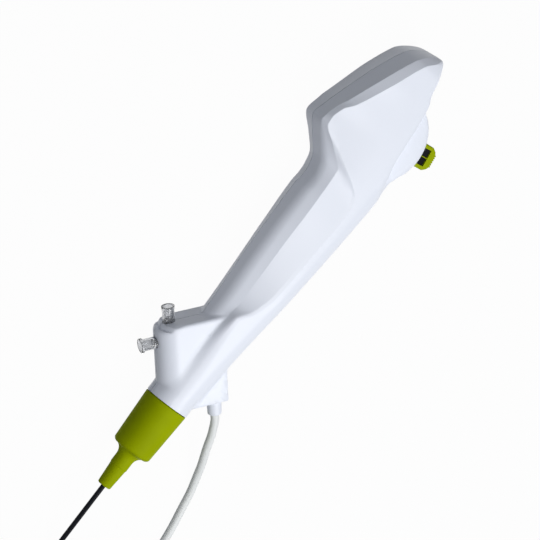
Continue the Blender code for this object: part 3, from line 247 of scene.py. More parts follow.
FRONT = front_outline()
BACK = back_outline()
SIDE_BACK = smooth_curve([
    (JOINT_X, -SLEEVE_RADIUS), (HEAD_X, -0.88 * GRIP_BACK), by_axle(-0.343, -0.413), by_axle(0.283, -0.343),
    by_axle(0.978, -0.239), (along(1.856), -0.175 * GRIP_BACK), (END_X, 0.01 * GRIP_BACK)])
SIDE = smooth_curve([
    (JOINT_X, SLEEVE_RADIUS), (along(0.242), 0.86 * SIDE_HALF), (along(0.451), 0.955 * SIDE_HALF),
    (along(0.564), SIDE_HALF), (along(1.892), SIDE_HALF), (END_X, 0.86 * SIDE_HALF)])
RIDGE = outline([(0.0, 0.0), (0.328, 0.516), (0.368, 0.452), (0.44, 0.0), (0.545, -0.245), (0.763, -0.348),
                 (0.992, -0.426), (1.066, -0.252), (1.102, 0.026), (1.21, 1.129), (1.293, 1.742),
                 (1.449, 0.516), (2.0, 0.194)], SIDE_HALF)
STEP = outline([(0.0, 0.0), (0.352, 0.0), (0.449, 1.0), (1.186, 1.0), (1.293, 0.0), (2.0, 0.0)], RIDGE_STEP)
FLAT_TOP_Y = 0.387 * SIDE_HALF
LEAN = outline([(0.0, 0.0), (1.066, 0.05), (1.21, 0.14), (1.377, 0.165), (1.485, 0.115), (1.593, 0.08),
                (1.737, 0.02), (2.0, 0.005)], 1.0)
FACET = outline([(0.0, 0.258), (0.328, 0.529), (0.432, 0.51), (0.754, 0.6), (0.916, 0.652), (1.114, 0.735),
                 (1.21, 1.355), (1.299, 2.0), (1.377, 2.026), (1.485, 1.658), (1.737, 1.019), (1.88, 0.658),
                 (1.916, 0.529), (1.952, 0.297), (2.0, 0.065)], SIDE_HALF)
FACET_HALF = outline([(0.0, 0.684), (0.328, 0.665), (0.432, 0.665), (0.754, 0.735), (0.916, 0.813),
                      (1.114, 0.826), (1.21, 0.813), (1.305, 0.671)], SIDE_HALF)
ROUND_END_X = along(0.097)
GRIP_START_X = along(0.467)


def ease(share):
    """A smooth step from 0 to 1."""
    share = min(max(share, 0.0), 1.0)
    return share * share * (3 - 2 * share)


def palm_corners(x):
    """The three corners that round the palm side: a full round on the grip, a boss on the head."""
    half, back, edge = SIDE(x), BACK(x), SIDE_BACK(x)
    reach = min(PALM_ROUND, half)
    full = []
    for k in range(3):
        out = reach / math.cos(math.radians(PALM_STEP / 2))
        turn = math.radians((k + 0.5) * PALM_STEP)
        full.append(Vector((back + reach - out * math.cos(turn), half - reach + out * math.sin(turn))))
    past_boss = max(0.0, x - AXLE_X - 0.87 * BOSS_RADIUS)
    boss_half = min(BOSS_HALF + 0.3 * past_boss, 0.903 * half)
    depth = FRONT(x) - back
    step = min(max(edge, back + min(0.9 * BOSS_EDGE, 0.2 * depth)), back + 0.7 * depth)
    head = [Vector((back, boss_half)), Vector((step, 1.04 * boss_half)),
            Vector((step + min(0.3 * BOSS_EDGE, 0.05 * depth), half))]
    share = ease((x - HEAD_X) / (BEAK_X - HEAD_X))
    return [a.lerp(b, share) for a, b in zip(full, head)], share


def side_drop(x, y):
    """How far the side has leaned in at a place across it, starting softly at its flat part."""
    past = y - FLAT_TOP_Y
    if past < -LEAN_SOFT:
        ramp = 0.0
    elif past > LEAN_SOFT:
        ramp = past
    else:
        ramp = (past + LEAN_SOFT) ** 2 / (4 * LEAN_SOFT)
    return LEAN(x) * ramp / SIDE(x)


def lean_in(x, line):
    """A half section with its side leaning in."""
    return [Vector((p.x, p.y * (1 - side_drop(x, p.x)))) for p in line]


def grip_corners(x, front):
    """Ridge, facet and shoulder on the finger side of the grip, with their radii."""
    facet = FACET(x)
    facet_half = FACET_HALF(x) / (1 - side_drop(x, facet))
    ridge = min(RIDGE(x), facet - 7 * RIDGE_STEP)
    shoulder = (facet + 0.74 * (front - facet), 0.66 * facet_half)
    points = ((ridge, SIDE(x)), (ridge + 4 * RIDGE_STEP, SIDE(x) - STEP(x)), (facet, facet_half), shoulder)
    return points, (5 * RIDGE_STEP, 7 * RIDGE_STEP, 2 * RIDGE_STEP, FINGER_ROUND)


def head_corners(x, front, edge_y):
    """Edge and chamfer of the sloping top, with their radii."""
    depth = front - edge_y
    facet = max(min(FACET(x), front - min(0.8 * CHAMFER, 0.3 * depth)), edge_y + 0.3 * depth)
    points = [(edge_y + share * (facet - edge_y), SIDE(x)) for share in (0.5, 0.8, 1.0)]
    points.append((facet + 0.75 * (front - facet), SIDE(x) - 1.2 * CHAMFER))
    return points, (CHAMFER, CHAMFER, 0.2 * CHAMFER, 0.2 * CHAMFER)


def section_corners(x):
    """Corners of half a section, in (Y, Z), from the palm side to the finger side, with their radii."""
    palm, share = palm_corners(x)
    half, front = SIDE(x), FRONT(x)
    grip, grip_radii = grip_corners(x, front)
    head, head_radii = head_corners(x, front, palm[2].x)
    turned_head = ease((x - BEAK_X + BEAK_BLEND) / (1.25 * BEAK_BLEND))
    finger = [Vector(a).lerp(Vector(b), turned_head) for a, b in zip(grip, head)]
    front_radii = [a + (b - a) * turned_head for a, b in zip(grip_radii, head_radii)]
    round_share = 1 - ease((x - ROUND_END_X) / (GRIP_START_X - ROUND_END_X))
    for k in range(4):
        turn = math.radians((k + 0.5) * NOSE_STEP)
        on_round = Vector((front * math.sin(turn), half * math.cos(turn)))
        on_round = on_round / math.cos(math.radians(NOSE_STEP / 2))
        finger[k] = finger[k].lerp(on_round, round_share)
    corners = [Vector((BACK(x), 0.0)), *palm, *finger, Vector((front, 0.0))]
    palm_radius = PALM_ROUND * (1 - share) + BOSS_EDGE * share
    front_radii = [r + (PALM_ROUND - r) * round_share for r in front_radii]
    return corners, (palm_radius, palm_radius, palm_radius, *front_radii)


EDGE_SHARE = 0.499                # of a short edge that a rounded corner may take
NEARLY_STRAIGHT = math.radians(89.8)
MITRE_LIMIT = 0.3                 # keeps a moved corner from running far out
CORNER_POINTS = 5
MERGE_DISTANCE = 1e-7


def round_corner(before, corner, after, radius, count):
    """Points of an arc that rounds one corner of a flat line; the radius shrinks where edges are short."""
    a, b, c = Vector(before), Vector(corner), Vector(after)
    to_a, to_c = a - b, c - b
    reach = EDGE_SHARE * min(to_a.length, to_c.length)
    to_a.normalize()
    to_c.normalize()
    half = to_a.angle(to_c) / 2
    if half > NEARLY_STRAIGHT:
        spread = min(reach, radius)
        return [b + to_a * spread * (1 - 2 * k / (count - 1)) if k * 2 < count
                else b + to_c * spread * (2 * k / (count - 1) - 1) for k in range(count)]
    run = min(reach, radius / math.tan(half))
    start, end = b + to_a * run, b + to_c * run
    arc_radius = run * math.tan(half)
    centre = b + (to_a + to_c).normalized() * math.hypot(run, arc_radius)
    first, last = start - centre, end - centre
    sweep = first.angle_signed(last)
    return [centre + Matrix.Rotation(-sweep * k / (count - 1), 2) @ first for k in range(count)]


def rounded_line(corners, radii, counts, between):
    """A flat line with its corners rounded and its straights divided."""
    line = [Vector(corners[0])]
    arcs = [round_corner(a, b, c, radius, count)
            for a, b, c, radius, count in zip(corners, corners[1:], corners[2:], radii, counts)]
    for arc in arcs + [[Vector(corners[-1])]]:
        start = line[-1]
        line += [start.lerp(arc[0], k / between) for k in range(1, between)]
        line += arc
    return line


def offset_line(corners, inset):
    """Move each edge of an open flat line inwards."""
    normals = []
    for a, b in zip(corners, corners[1:]):
        along_edge = (b - a).normalized()
        normals.append(Vector((along_edge.y, -along_edge.x)))
    moved = [corners[0] + normals[0] * inset]
    for corner, before, after in zip(corners[1:-1], normals, normals[1:]):
        bisector = (before + after).normalized()
        moved.append(corner + bisector * inset / max(bisector.dot(after), MITRE_LIMIT))
    moved.append(corners[-1] + normals[-1] * inset)
    return moved


# Meshes

def placed(point):
    """A point of the handle's axes in the frame."""
    return Vector(point) + SHIFT


def solid_mesh(name, verts, faces, sharp=35.0):
    """A closed mesh with outward faces, smooth but for edges sharper than the angle in degrees."""
    mesh = bpy.data.meshes.new(name)
    shape = bmesh.new()
    corners = [shape.verts.new(v) for v in verts]
    for face in faces:
        shape.faces.new([corners[i] for i in face])
    bmesh.ops.remove_doubles(shape, verts=shape.verts, dist=MERGE_DISTANCE)
    bmesh.ops.recalc_face_normals(shape, faces=shape.faces)
    if shape.calc_volume(signed=True) < 0:
        bmesh.ops.reverse_faces(shape, faces=shape.faces)
    shape.to_mesh(mesh)
    shape.free()
    soften(mesh, sharp)
    return mesh


def soften(mesh, sharp):
    """Shade smooth, but keep the edges that are sharper than the angle in degrees."""
    mesh.shade_smooth()
    mesh.set_sharp_from_angle(angle=math.radians(sharp))


def lofted(rings, closed=False):
    """Vertices and faces through rings of equally many points, with end caps unless it closes on itself."""
    count = len(rings[0])
    verts = [p for ring in rings for p in ring]
    faces = []
    for row in range(len(rings) - (0 if closed else 1)):
        low, high = row * count, (row + 1) % len(rings) * count
        for i in range(count):
            j = (i + 1) % count
            faces.append((low + i, low + j, high + j, high + i))
    if not closed:
        faces += [tuple(range(count)), tuple(range((len(rings) - 1) * count, len(rings) * count))]
    return verts, faces


def facing(direction, origin):
    """A matrix that takes local +Z to a direction from an origin."""
    turn = Vector((0, 0, 1)).rotation_difference(Vector(direction)).to_matrix().to_4x4()
    return Matrix.Translation(Vector(origin)) @ turn


def turned(profile, place, steps):
    """A closed profile of (radius, height) turned about local Z."""
    rings = []
    for k in range(steps):
        turn = place @ Matrix.Rotation(math.tau * k / steps, 4, "Z")
        rings.append([turn @ Vector((radius, 0.0, height)) for radius, height in profile])
    return lofted(rings, closed=True)


def softened(corners):
    """A closed profile through corners of (out, along, rounding)."""
    spots = [(x, y) for x, y, _ in corners]
    line = []
    for i, (_, _, radius) in enumerate(corners):
        if radius:
            line += round_corner(spots[i - 1], spots[i], spots[(i + 1) % len(spots)], radius, CORNER_POINTS)
        else:
            line.append(Vector(spots[i]))
    return [(p.x, p.y) for p in line]


def rim_steps(radius, half, steps):
    """Inset and height of the rings that round the two rims of a plate."""
    for side in (-1, 1):
        for k in range(steps + 1):
            turn = math.radians(90 * (k if side < 0 else steps - k) / steps)
            yield radius * (1 - math.sin(turn)), side * (half - radius * (1 - math.cos(turn)))


def rounded_box(size, radius, place, segments=4):
    """A box with rounded edges, as rings from its bottom to its top."""
    x, y, z = (s / 2 for s in size)
    rings = []
    for inset, height in rim_steps(radius, z, segments):
        ring = []
        spread = radius - inset
        for sx, sy, start in ((1, 1, 0), (-1, 1, 90), (-1, -1, 180), (1, -1, 270)):
            for m in range(segments + 1):
                around = math.radians(start + 90 * m / segments)
                ring.append(place @ Vector((sx * (x - radius) + spread * math.cos(around),
                                            sy * (y - radius) + spread * math.sin(around), height)))
        rings.append(ring)
    return lofted(rings)


def linked(name, data, material=None):
    """A new object in the scene, in one material if that is given."""
    thing = bpy.data.objects.new(name, data)
    bpy.context.scene.collection.objects.link(thing)
    if material:
        data.materials.clear()
        data.materials.append(material)
    return thing


def plain_copy(thing, helpers):
    """The object's finished shape as a plain mesh; the object and its helpers are removed."""
    depsgraph = bpy.context.evaluated_depsgraph_get()
    mesh = bpy.data.meshes.new_from_object(thing.evaluated_get(depsgraph), depsgraph=depsgraph)
    for used in (thing, *helpers):
        bpy.data.objects.remove(used, do_unlink=True)
    return mesh


def add_piece(name, mesh, material, body="handle", stands_for=()):
    """Link a piece that rides on a body and stands for the plain solids it covers."""
    piece = linked(name, mesh, material)
    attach(piece, body)
    if stands_for:
        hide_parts(*stands_for)
    return piece


def add_solid(name, geometry, sharp, material, body="handle", stands_for=()):
    """Add a piece from the vertices and faces of a closed solid."""
    return add_piece(name, solid_mesh(name, *geometry, sharp), material, body, stands_for)


def cut_away(mesh, name, cutters):
    """The mesh with the cutters' solids taken away, as a plain mesh."""
    holder = linked(name + "_whole", mesh)
    tools = []
    for k, (verts, faces) in enumerate(cutters):
        label = f"{name}_cutter_{k}"
        tool = linked(label, solid_mesh(label, verts, faces))
        cut = holder.modifiers.new("Cut", "BOOLEAN")
        cut.operation = "DIFFERENCE"
        cut.solver = "EXACT"
        cut.object = tool
        tools.append(tool)
    return plain_copy(holder, tools)


def join(tree, *links):
    """Link nodes; each link is (node, output, node, input)."""
    for source, output, target, entry in links:
        tree.links.new(source.outputs[output], target.inputs[entry])


def repeat_piece(name, seed, count, start, step, material):
    """Copies of a seed mesh along a line, made with Geometry Nodes and returned as one plain mesh."""
    tree = bpy.data.node_groups.new("Repeat", "GeometryNodeTree")
    tree.interface.new_socket("Geometry", in_out="OUTPUT", socket_type="NodeSocketGeometry")
    seed_piece = linked(name + "_seed", seed)
    fields = (("Piece", "Object", seed_piece), ("Count", "Int", count), ("Start", "Vector", tuple(start)),
              ("Step", "Vector", tuple(step)), ("Material", "Material", material))
    sockets = [tree.interface.new_socket(label, in_out="INPUT", socket_type="NodeSocket" + kind).identifier
               for label, kind, _ in fields]
    given = tree.nodes.new("NodeGroupInput")
    line = tree.nodes.new("GeometryNodeMeshLine")
    line.mode = "OFFSET"
    source = tree.nodes.new("GeometryNodeObjectInfo")
    copies = tree.nodes.new("GeometryNodeInstanceOnPoints")
    real = tree.nodes.new("GeometryNodeRealizeInstances")
    paint = tree.nodes.new("GeometryNodeSetMaterial")
    result = tree.nodes.new("NodeGroupOutput")
    join(tree, (given, "Count", line, "Count"), (given, "Start", line, "Start Location"),
         (given, "Step", line, "Offset"), (given, "Piece", source, "Object"),
         (line, "Mesh", copies, "Points"), (source, "Geometry", copies, "Instance"),
         (copies, "Instances", real, "Geometry"), (real, "Geometry", paint, "Geometry"),
         (given, "Material", paint, "Material"), (paint, "Geometry", result, "Geometry"))
    holder = linked(name + "_copies", bpy.data.meshes.new(name + "_copies"))
    pattern = holder.modifiers.new("Repeat", "NODES")
    pattern.node_group = tree
    for socket, (_, _, value) in zip(sockets, fields):
        pattern[socket] = value
    return plain_copy(holder, [seed_piece])


# Materials

def set_inputs(node, values):
    """Set a node's inputs from a table of names or places."""
    for name, value in values.items():
        node.inputs[name].default_value = value
    return node


def grained(name, colour, roughness, metallic=0.0, mottle=0.02, grain=0.05, grain_size=0.4 * MM, wear=0.05,
            shine=0.4):
    """A surface whose colour, gloss and height vary faintly over the object."""
    material = bpy.data.materials.new(name)
    material.use_nodes = True
    nodes = material.node_tree.nodes
    shader = set_inputs(nodes["Principled BSDF"], {"Metallic": metallic, "Specular IOR Level": shine})
    place = nodes.new("ShaderNodeTexCoord")
    cloud = nodes.new("ShaderNodeTexNoise")
    set_inputs(cloud, {"Scale": 1 / (CLOUD_GRAINS * grain_size), "Detail": 3.0})
    fine = set_inputs(nodes.new("ShaderNodeTexNoise"), {"Scale": 1 / grain_size})
    tint = nodes.new("ShaderNodeMix")
    tint.data_type = "RGBA"
    dark = (*[c * (1 - mottle) for c in colour], 1.0)
    pale = (*[min(1.0, c * (1 + mottle)) for c in colour], 1.0)
    set_inputs(tint, {6: dark, 7: pale})
    gloss = nodes.new("ShaderNodeMapRange")
    set_inputs(gloss, {"To Min": max(0.02, roughness - wear), "To Max": roughness + wear})
    bump = set_inputs(nodes.new("ShaderNodeBump"), {"Strength": grain, "Distance": 0.1 * grain_size})
    join(material.node_tree, (place, "Object", cloud, "Vector"), (place, "Object", fine, "Vector"),
         (cloud, "Fac", tint, 0), (tint, 2, shader, "Base Color"),
         (cloud, "Fac", gloss, "Value"), (gloss, "Result", shader, "Roughness"),
         (fine, "Fac", bump, "Height"), (bump, "Normal", shader, "Normal"))
    return material


def clear(name, colour, roughness):
    """A clear moulding with faint flow marks."""
    material = grained(name, colour, roughness, mottle=0.01, grain=0.02, wear=0.02)
    set_inputs(material.node_tree.nodes["Principled BSDF"],
               {"Transmission Weight": 0.9, "Specular IOR Level": 0.5, "IOR": 1.47})
    return material


def paint_node(node, material):
    """Give a carried-over solid its own surface through its object's slot."""
    piece = frame["nodes"][node]
    for holder in piece.material_slots:
        holder.link = "OBJECT"
        holder.material = material


# Settings

def colour_setting(name, description, default):
    """A colour that the panel shows."""
    return FloatVectorProperty(name=name, description=description, subtype="COLOR", size=3, min=0.0, max=1.0,
                               default=default)


def length_setting(name, description, low, high, default):
    """A length that the panel shows."""
    return FloatProperty(name=name, description=description, unit="LENGTH", min=low, max=high,
                         default=default)


class HandleSettings(bpy.types.PropertyGroup):
    shell_colour: colour_setting("Shell", "Colour of the two shells", (0.785, 0.82, 0.905))
    sleeve_colour: colour_setting("Sleeve", "Colour of the sleeve and the thumb pad", (0.30, 0.37, 0.0))
    port_colour: colour_setting("Ports", "Tint of the clear ports", (0.62, 0.63, 0.65))
    station_step: length_setting(
        "Section step", "Distance between sections where the shell turns fast", 0.3 * MM, 3 * MM, 0.6 * MM)
    block_blend: length_setting(
        "Block blend", "How far the port block and the wedge flow into the grip", 0.5 * MM, 8 * MM, 1.6 * MM)
    grain: FloatProperty(
        name="Sleeve grain", description="Depth of the rubber's grain", min=0.0, max=1.0, default=0.35)


class LeverSettings(bpy.types.PropertyGroup):
    teeth: IntProperty(name="Teeth", description="Teeth on the thumb pad", min=3, max=10, default=6)
    tooth_height: length_setting("Tooth height", "How far a tooth stands out", 0.3 * MM, 2 * MM, 0.6 * MM)
    crown: length_setting("Crown", "How far the pad falls away before its ends", 0.0, 2 * MM, 0.9 * MM)
    arm_colour: colour_setting("Arm", "Colour of the lever's arm", (0.012, 0.012, 0.014))


class CordSettings(bpy.types.PropertyGroup):
    tube_colour: colour_setting("Tube", "Colour of the insertion tube", (0.006, 0.007, 0.010))
    cable_colour: colour_setting("Cable", "Colour of the video cable", (0.76, 0.78, 0.78))
    tie_width: length_setting("Tie width", "Width of the ties round the coils", 2 * MM, 12 * MM, 5 * MM)
    sheath_wall: length_setting(
        "Sheath wall", "Wall of the sheath over the bending section", 0.03 * MM, 0.2 * MM, 0.07 * MM)


class StageSettings(bpy.types.PropertyGroup):
    floor_colour: colour_setting("Floor", "Colour of the floor", (0.42, 0.43, 0.45))
    floor_size: length_setting("Floor size", "Side of the floor", 1.0, 10.0, 5.0)
    distance: length_setting("Camera distance", "From the camera to the handle", 0.5, 3.0, 1.5)
    frame_width: length_setting("Frame width", "Width that the camera sees at the handle", 0.05, 2.0, 0.2634)
    key: FloatProperty(
        name="Key light", description="Power of the large lamp on the palm side", unit="POWER", min=0.0,
        max=100.0, default=10.8)
    fill: FloatProperty(
        name="Fill light", description="Power of the lamp above", unit="POWER", min=0.0, max=100.0,
        default=10.5)
    ambient: FloatProperty(
        name="Ambient", description="Strength of the light from all round", min=0.0, max=1.0, default=0.10)


# Shells

ARC_COUNTS = (6, 6, 6, 5, 5, 9, 21)
STRAIGHT_PARTS = 6
BARREL_SECTIONS = 8
CLOSE_END_X = 102 * MM            # where the close sections along the block end
SWELL_END_X = 103 * MM            # past which nothing swells
SWELL_START = 3 * MM              # over which the block starts to swell behind the sleeve
CAP_LENGTH = 3 * MM
SHELL_SHARP = 30                  # degrees from which an edge of the shells stays sharp
CAVITY_END_X = END_X - 2.5 * WALL
HALF_GAP = 0.15 * MM
END_ROUND = 3.5 * MM
EYE = Vector((2.0 * MM, 0.0))     # from where the block and the wedge are seen, in (Y, Z)
SIGHT = 45 * MM                   # how far out the search for a face starts
SIGHT_STEPS = 40
STEP_SHARE = 0.75                 # of the known gap that one step takes
TOUCHING = 0.005 * MM


def rounded_corner(a, b, radius):
    """Distance to a corner between two faces, rounded."""
    a, b = a + radius, b + radius
    return min(max(a, b), 0.0) + math.hypot(max(a, 0.0), max(b, 0.0)) - radius


def block_distance(x, y, z):
    """How far a place is from the port block: flat on top, round towards the nose."""
    place = Vector((x, y, 0.0)) - BLOCK_CORNER
    up, out = place.dot(UP_PORT), place.dot(SIDE_PORT)
    into = min(max(0.0, up + BLOCK_NOSE), BLOCK_NOSE)
    inset = BLOCK_NOSE - math.sqrt(BLOCK_NOSE ** 2 - into ** 2)
    side = math.hypot(max(out + inset + BLOCK_HALF, 0.0), z) - BLOCK_HALF
    return rounded_corner(up, side, BLOCK_EDGE)


def wedge_distance(x, y, z):
    """How far a place is from the cable's wedge."""
    place = Vector((x, y, 0.0)) - WEDGE_CORNER
    faces = rounded_corner(-place.dot(UP_PORT), -place.dot(SIDE_PORT), WEDGE_EDGE)
    return rounded_corner(faces, abs(z) - WEDGE_HALF, WEDGE_EDGE)


def swell(x, ring, blend):
    """Let the block and the wedge grow out of a half section, seen from inside it."""
    grown = []
    share = ease((x - JOINT_X) / SWELL_START)
    reach = blend * share + 1e-6
    for p in ring:
        ray = p - EYE
        near = ray.length
        ray.normalize()
        far = SIGHT
        for _ in range(SIGHT_STEPS):
            place = EYE + ray * far
            gap = (block_distance if ray.x > 0 else wedge_distance)(x, place.x, place.y)
            if gap < TOUCHING or far < near - reach:
                break
            far -= STEP_SHARE * gap
        both = max(0.0, reach - abs(far - near)) / reach
        grown.append(EYE + ray * (max(near, far) + both * both * reach / 4))
    return grown


def round_end(x, line):
    """Round the far end's corners towards the two sides."""
    into = max(0.0, x - END_X + END_ROUND)
    inset = 0.9 * (END_ROUND - math.sqrt(END_ROUND ** 2 - into ** 2))
    return [Vector((p.x, p.y * (1 - inset / SIDE(x)))) for p in line]


def section_places(step):
    """Where the sections lie: close together along the block, wider on the grip, close on the head."""
    places = [JOINT_X - BARREL_LENGTH * (1 - k / BARREL_SECTIONS) for k in range(BARREL_SECTIONS)]
    places += [JOINT_X + step * k for k in range(int((CLOSE_END_X - JOINT_X) / step))]
    head_start, cap_start = along(0.92), END_X - CAP_LENGTH
    for low, high, spacing in ((places[-1] + step, head_start, 4 * step),
                               (head_start, cap_start, 1.2 * step), (cap_start, END_X, 0.5 * step)):
        count = math.ceil((high - low) / spacing)
        places += [low + (high - low) * k / count for k in range(count)]
    return places + [END_X]


def shell_rings(step, blend):
    """Sections of the upper shell: along its outside and back along its inside."""
    places = section_places(step)
    cavity_end = max(x for x in places if x <= CAVITY_END_X)
    rings = []
    for x in places:
        corners, radii = section_corners(max(x, JOINT_X))
        outer = round_end(x, lean_in(x, rounded_line(corners, radii, ARC_COUNTS, STRAIGHT_PARTS)))
        if x < SWELL_END_X:
            outer = swell(x, outer, blend)
        hollow = []
        if x <= cavity_end:
            inner_radii = [max(r - WALL, 0.4 * MM) for r in radii]
            inner = rounded_line(offset_line(corners, WALL), inner_radii, ARC_COUNTS, STRAIGHT_PARTS)
            hollow.append(lean_in(x, inner))
        if x >= cavity_end:
            hollow.append([Vector((a.x, HALF_GAP)) for a in outer])
        for inside in hollow:
            line = outer + list(reversed(inside))
            rings.append([placed((x, p.x, max(p.y, HALF_GAP))) for p in line])
    return rings


def rod_cutter(start, end, radius, sides):
    """A round cutter between two points of the handle."""
    length = (end - start).length
    return turned([(0.0, length), (radius, length), (radius, 0.0), (0.0, 0.0)],
                  facing(end - start, placed(start)), sides)


def slot_cutter():
    """The slot that the lever's arm swings in."""
    spare = math.degrees((ARM_WIDTH / 2 + SLIDE) / (BOSS_RADIUS - WALL))
    first, last = LEVER_ANGLE - LEVER_SWING - spare, LEVER_ANGLE + LEVER_SWING + spare
    steps = 24
    turns = [math.radians(first + (last - first) * k / steps) for k in range(steps + 1)]
    near, far = 0.65 * BOSS_RADIUS, 1.26 * BOSS_RADIUS
    plan = [(near, a) for a in turns] + [(far, a) for a in reversed(turns)]
    return lofted([[placed(AXLE + Vector((r * math.cos(a), r * math.sin(a), height))) for r, a in plan]
                   for height in (-ARM_HALF - SLIDE, ARM_HALF + SLIDE)])


TOP_PORT = BLOCK_CORNER - SIDE_PORT * PORT_TOP_INSET
SIDE_PORT_FACE = BLOCK_CORNER - UP_PORT * PORT_SIDE_INSET
COLLAR_FACE = WEDGE_CORNER + SIDE_PORT * COLLAR_INSET


class ENDOSCOPE_OT_shells(bpy.types.Operator):
    """Build the two half shells with the port block, the cable wedge and the sculpted head"""
    bl_idname = "endoscope.shells"
    bl_label = "Shells"

    def execute(self, context):
        settings = context.scene.endoscope_handle
        material = grained("white_moulding", settings.shell_colour, 0.34, mottle=0.012, grain=0.04)
        rings = shell_rings(settings.station_step, settings.block_blend)
        verts, faces = lofted(rings)
        # Each bore's place, direction, depth and rise in millimetres, radius and number of sides
        bores = ((TOP_PORT, UP_PORT, 16, 8, PORT_RADIUS + HALF_GAP, 48),
                 (SIDE_PORT_FACE, SIDE_PORT, 6.3, 3, PORT_RADIUS + HALF_GAP, 44),
                 (COLLAR_FACE, UP_PORT, 4, 15, 3.1 * MM, 48))
        cutters = [rod_cutter(face - out * depth * MM, face + out * rise * MM, radius, sides)
                   for face, out, depth, rise, radius, sides in bores]
        cutters.append(slot_cutter())
        for name, flip in (("upper_shell", 1), ("lower_shell", -1)):
            half = [Vector((v.x, v.y, SHIFT.z + flip * (v.z - SHIFT.z))) for v in verts]
            mesh = cut_away(solid_mesh(name + "_moulding", half, faces, SHELL_SHARP), name, cutters)
            soften(mesh, SHELL_SHARP)
            add_piece(name + "_moulding", mesh, material, "handle", [name])
        return {"FINISHED"}


# Sleeve, ports and collar

class ENDOSCOPE_OT_sleeve(bpy.types.Operator):
    """Build the green rubber sleeve with its flared nozzle"""
    bl_idname = "endoscope.sleeve"
    bl_label = "Sleeve"

    def execute(self, context):
        settings = context.scene.endoscope_handle
        # The sleeve's strong colour mottle is partly the rubber's random tone and partly painted sheen marks.
        material = grained("green_rubber", settings.sleeve_colour, 0.55, mottle=0.13,
                           grain=settings.grain, grain_size=FINE_GRAIN, shine=0.03)
        spigot = SLEEVE_RADIUS - WALL - 2 * HALF_GAP
        end = NOSE_LENGTH + 4.5 * MM
        bore = TUBE_RADIUS + 2 * HALF_GAP
        rise = SLEEVE_TIP_RADIUS - 1.6 * MM - NOZZLE_RADIUS
        run = SLEEVE_BODY_X - NOZZLE_LENGTH - 1.2 * MM
        flare = []
        for angle in range(0, 91, 6):
            turn = math.radians(angle)
            flare.append((NOZZLE_RADIUS + rise * (1 - math.sin(turn)),
                          NOZZLE_LENGTH + run * math.cos(turn), 0.0))
        corners = [(spigot, end, 0.2 * MM), (spigot, RIM_X - 0.6 * MM, 0.0),
                   (SLEEVE_RADIUS, RIM_X, 0.35 * MM),
                   (SLEEVE_TIP_RADIUS, SLEEVE_BODY_X, 1.6 * MM),
                   (SLEEVE_TIP_RADIUS - 1.0 * MM, SLEEVE_BODY_X - 0.9 * MM, 0.6 * MM), *flare,
                   (NOZZLE_RADIUS, 12.0 * MM, 0.2 * MM), (NOZZLE_RADIUS - 0.25 * MM, 11.6 * MM, 0.2 * MM),
                   (NOZZLE_TIP_RADIUS, 0.0, 0.8 * MM), (bore, 0.0, 0.3 * MM), (bore, SLEEVE_BODY_X, 0.0),
                   (SLEEVE_RADIUS - 3.6 * MM, RIM_X - 2 * MM, 0.0), (spigot - 1.6 * MM, end, 0.2 * MM)]
        solid = turned(softened(corners), facing((1, 0, 0), placed((0, 0, 0))), 128)
        add_solid("green_sleeve_moulding", solid, 40, material, "handle", ["nose_sleeve"])
        return {"FINISHED"}


def port_solid(face, out, lug_turn):
    """A luer port: stem in the block, hub, two flared lugs at the rim and a tapered bore."""
    top, stem, bore = PORT_LENGTH, -4.0 * MM, 2.1 * MM
    flare_out, rim_cut, lug_out = 0.25 * MM, 0.25 * MM, (PORT_LUG_RADIUS - PORT_RADIUS) * 0.45
    outer = [(stem, 0), (0.2 * MM, 0), (top - 2.0 * MM, 0), (top - 1.7 * MM, 0.35),
             (top - 1.35 * MM, 0.9), (top - 1.1 * MM, 1.0), (top - 0.35 * MM, 1.0),
             (top - 0.12 * MM, 0.85), (top, 0.6)]
    inner = [(top, 1.32), (top - 0.25 * MM, 1.1), (top - 0.6 * MM, 1.03), (0.19 * top, 0.98),
             (0.12 * top, 0.5), (stem, 0.48)]
    rings = []
    steps = 64
    place = facing(out, placed(face)) @ Matrix.Rotation(lug_turn, 4, "Z")
    for k in range(steps):
        angle = math.tau * k / steps
        lobe = ease(1.6 * (abs(math.cos(angle)) - 0.45))
        ring = []
        for height, flare in outer:
            radius = PORT_RADIUS + flare * (lug_out * lobe + flare_out)
            if height == top:
                radius -= rim_cut
            ring.append((radius, height))
        ring += [(bore * share, height) for height, share in inner]
        turn = place @ Matrix.Rotation(angle, 4, "Z")
        rings.append([turn @ Vector((radius, 0.0, height)) for radius, height in ring])
    return lofted(rings, closed=True)


class ENDOSCOPE_OT_ports(bpy.types.Operator):
    """Build the two clear ports and give the channel behind them its clear walls"""
    bl_idname = "endoscope.ports"
    bl_label = "Ports"

    def execute(self, context):
        material = clear("clear_moulding", context.scene.endoscope_handle.port_colour, 0.08)
        for name, face, out, turn in (("upper_port", TOP_PORT, UP_PORT, 0.0),
                                      ("side_port", SIDE_PORT_FACE, SIDE_PORT, math.pi / 2)):
            add_solid(name + "_moulding", port_solid(face, out, turn), 40, material, "handle", [name])
        for node in ("channel_manifold", "channel_tube"):
            paint_node(node, material)
        return {"FINISHED"}


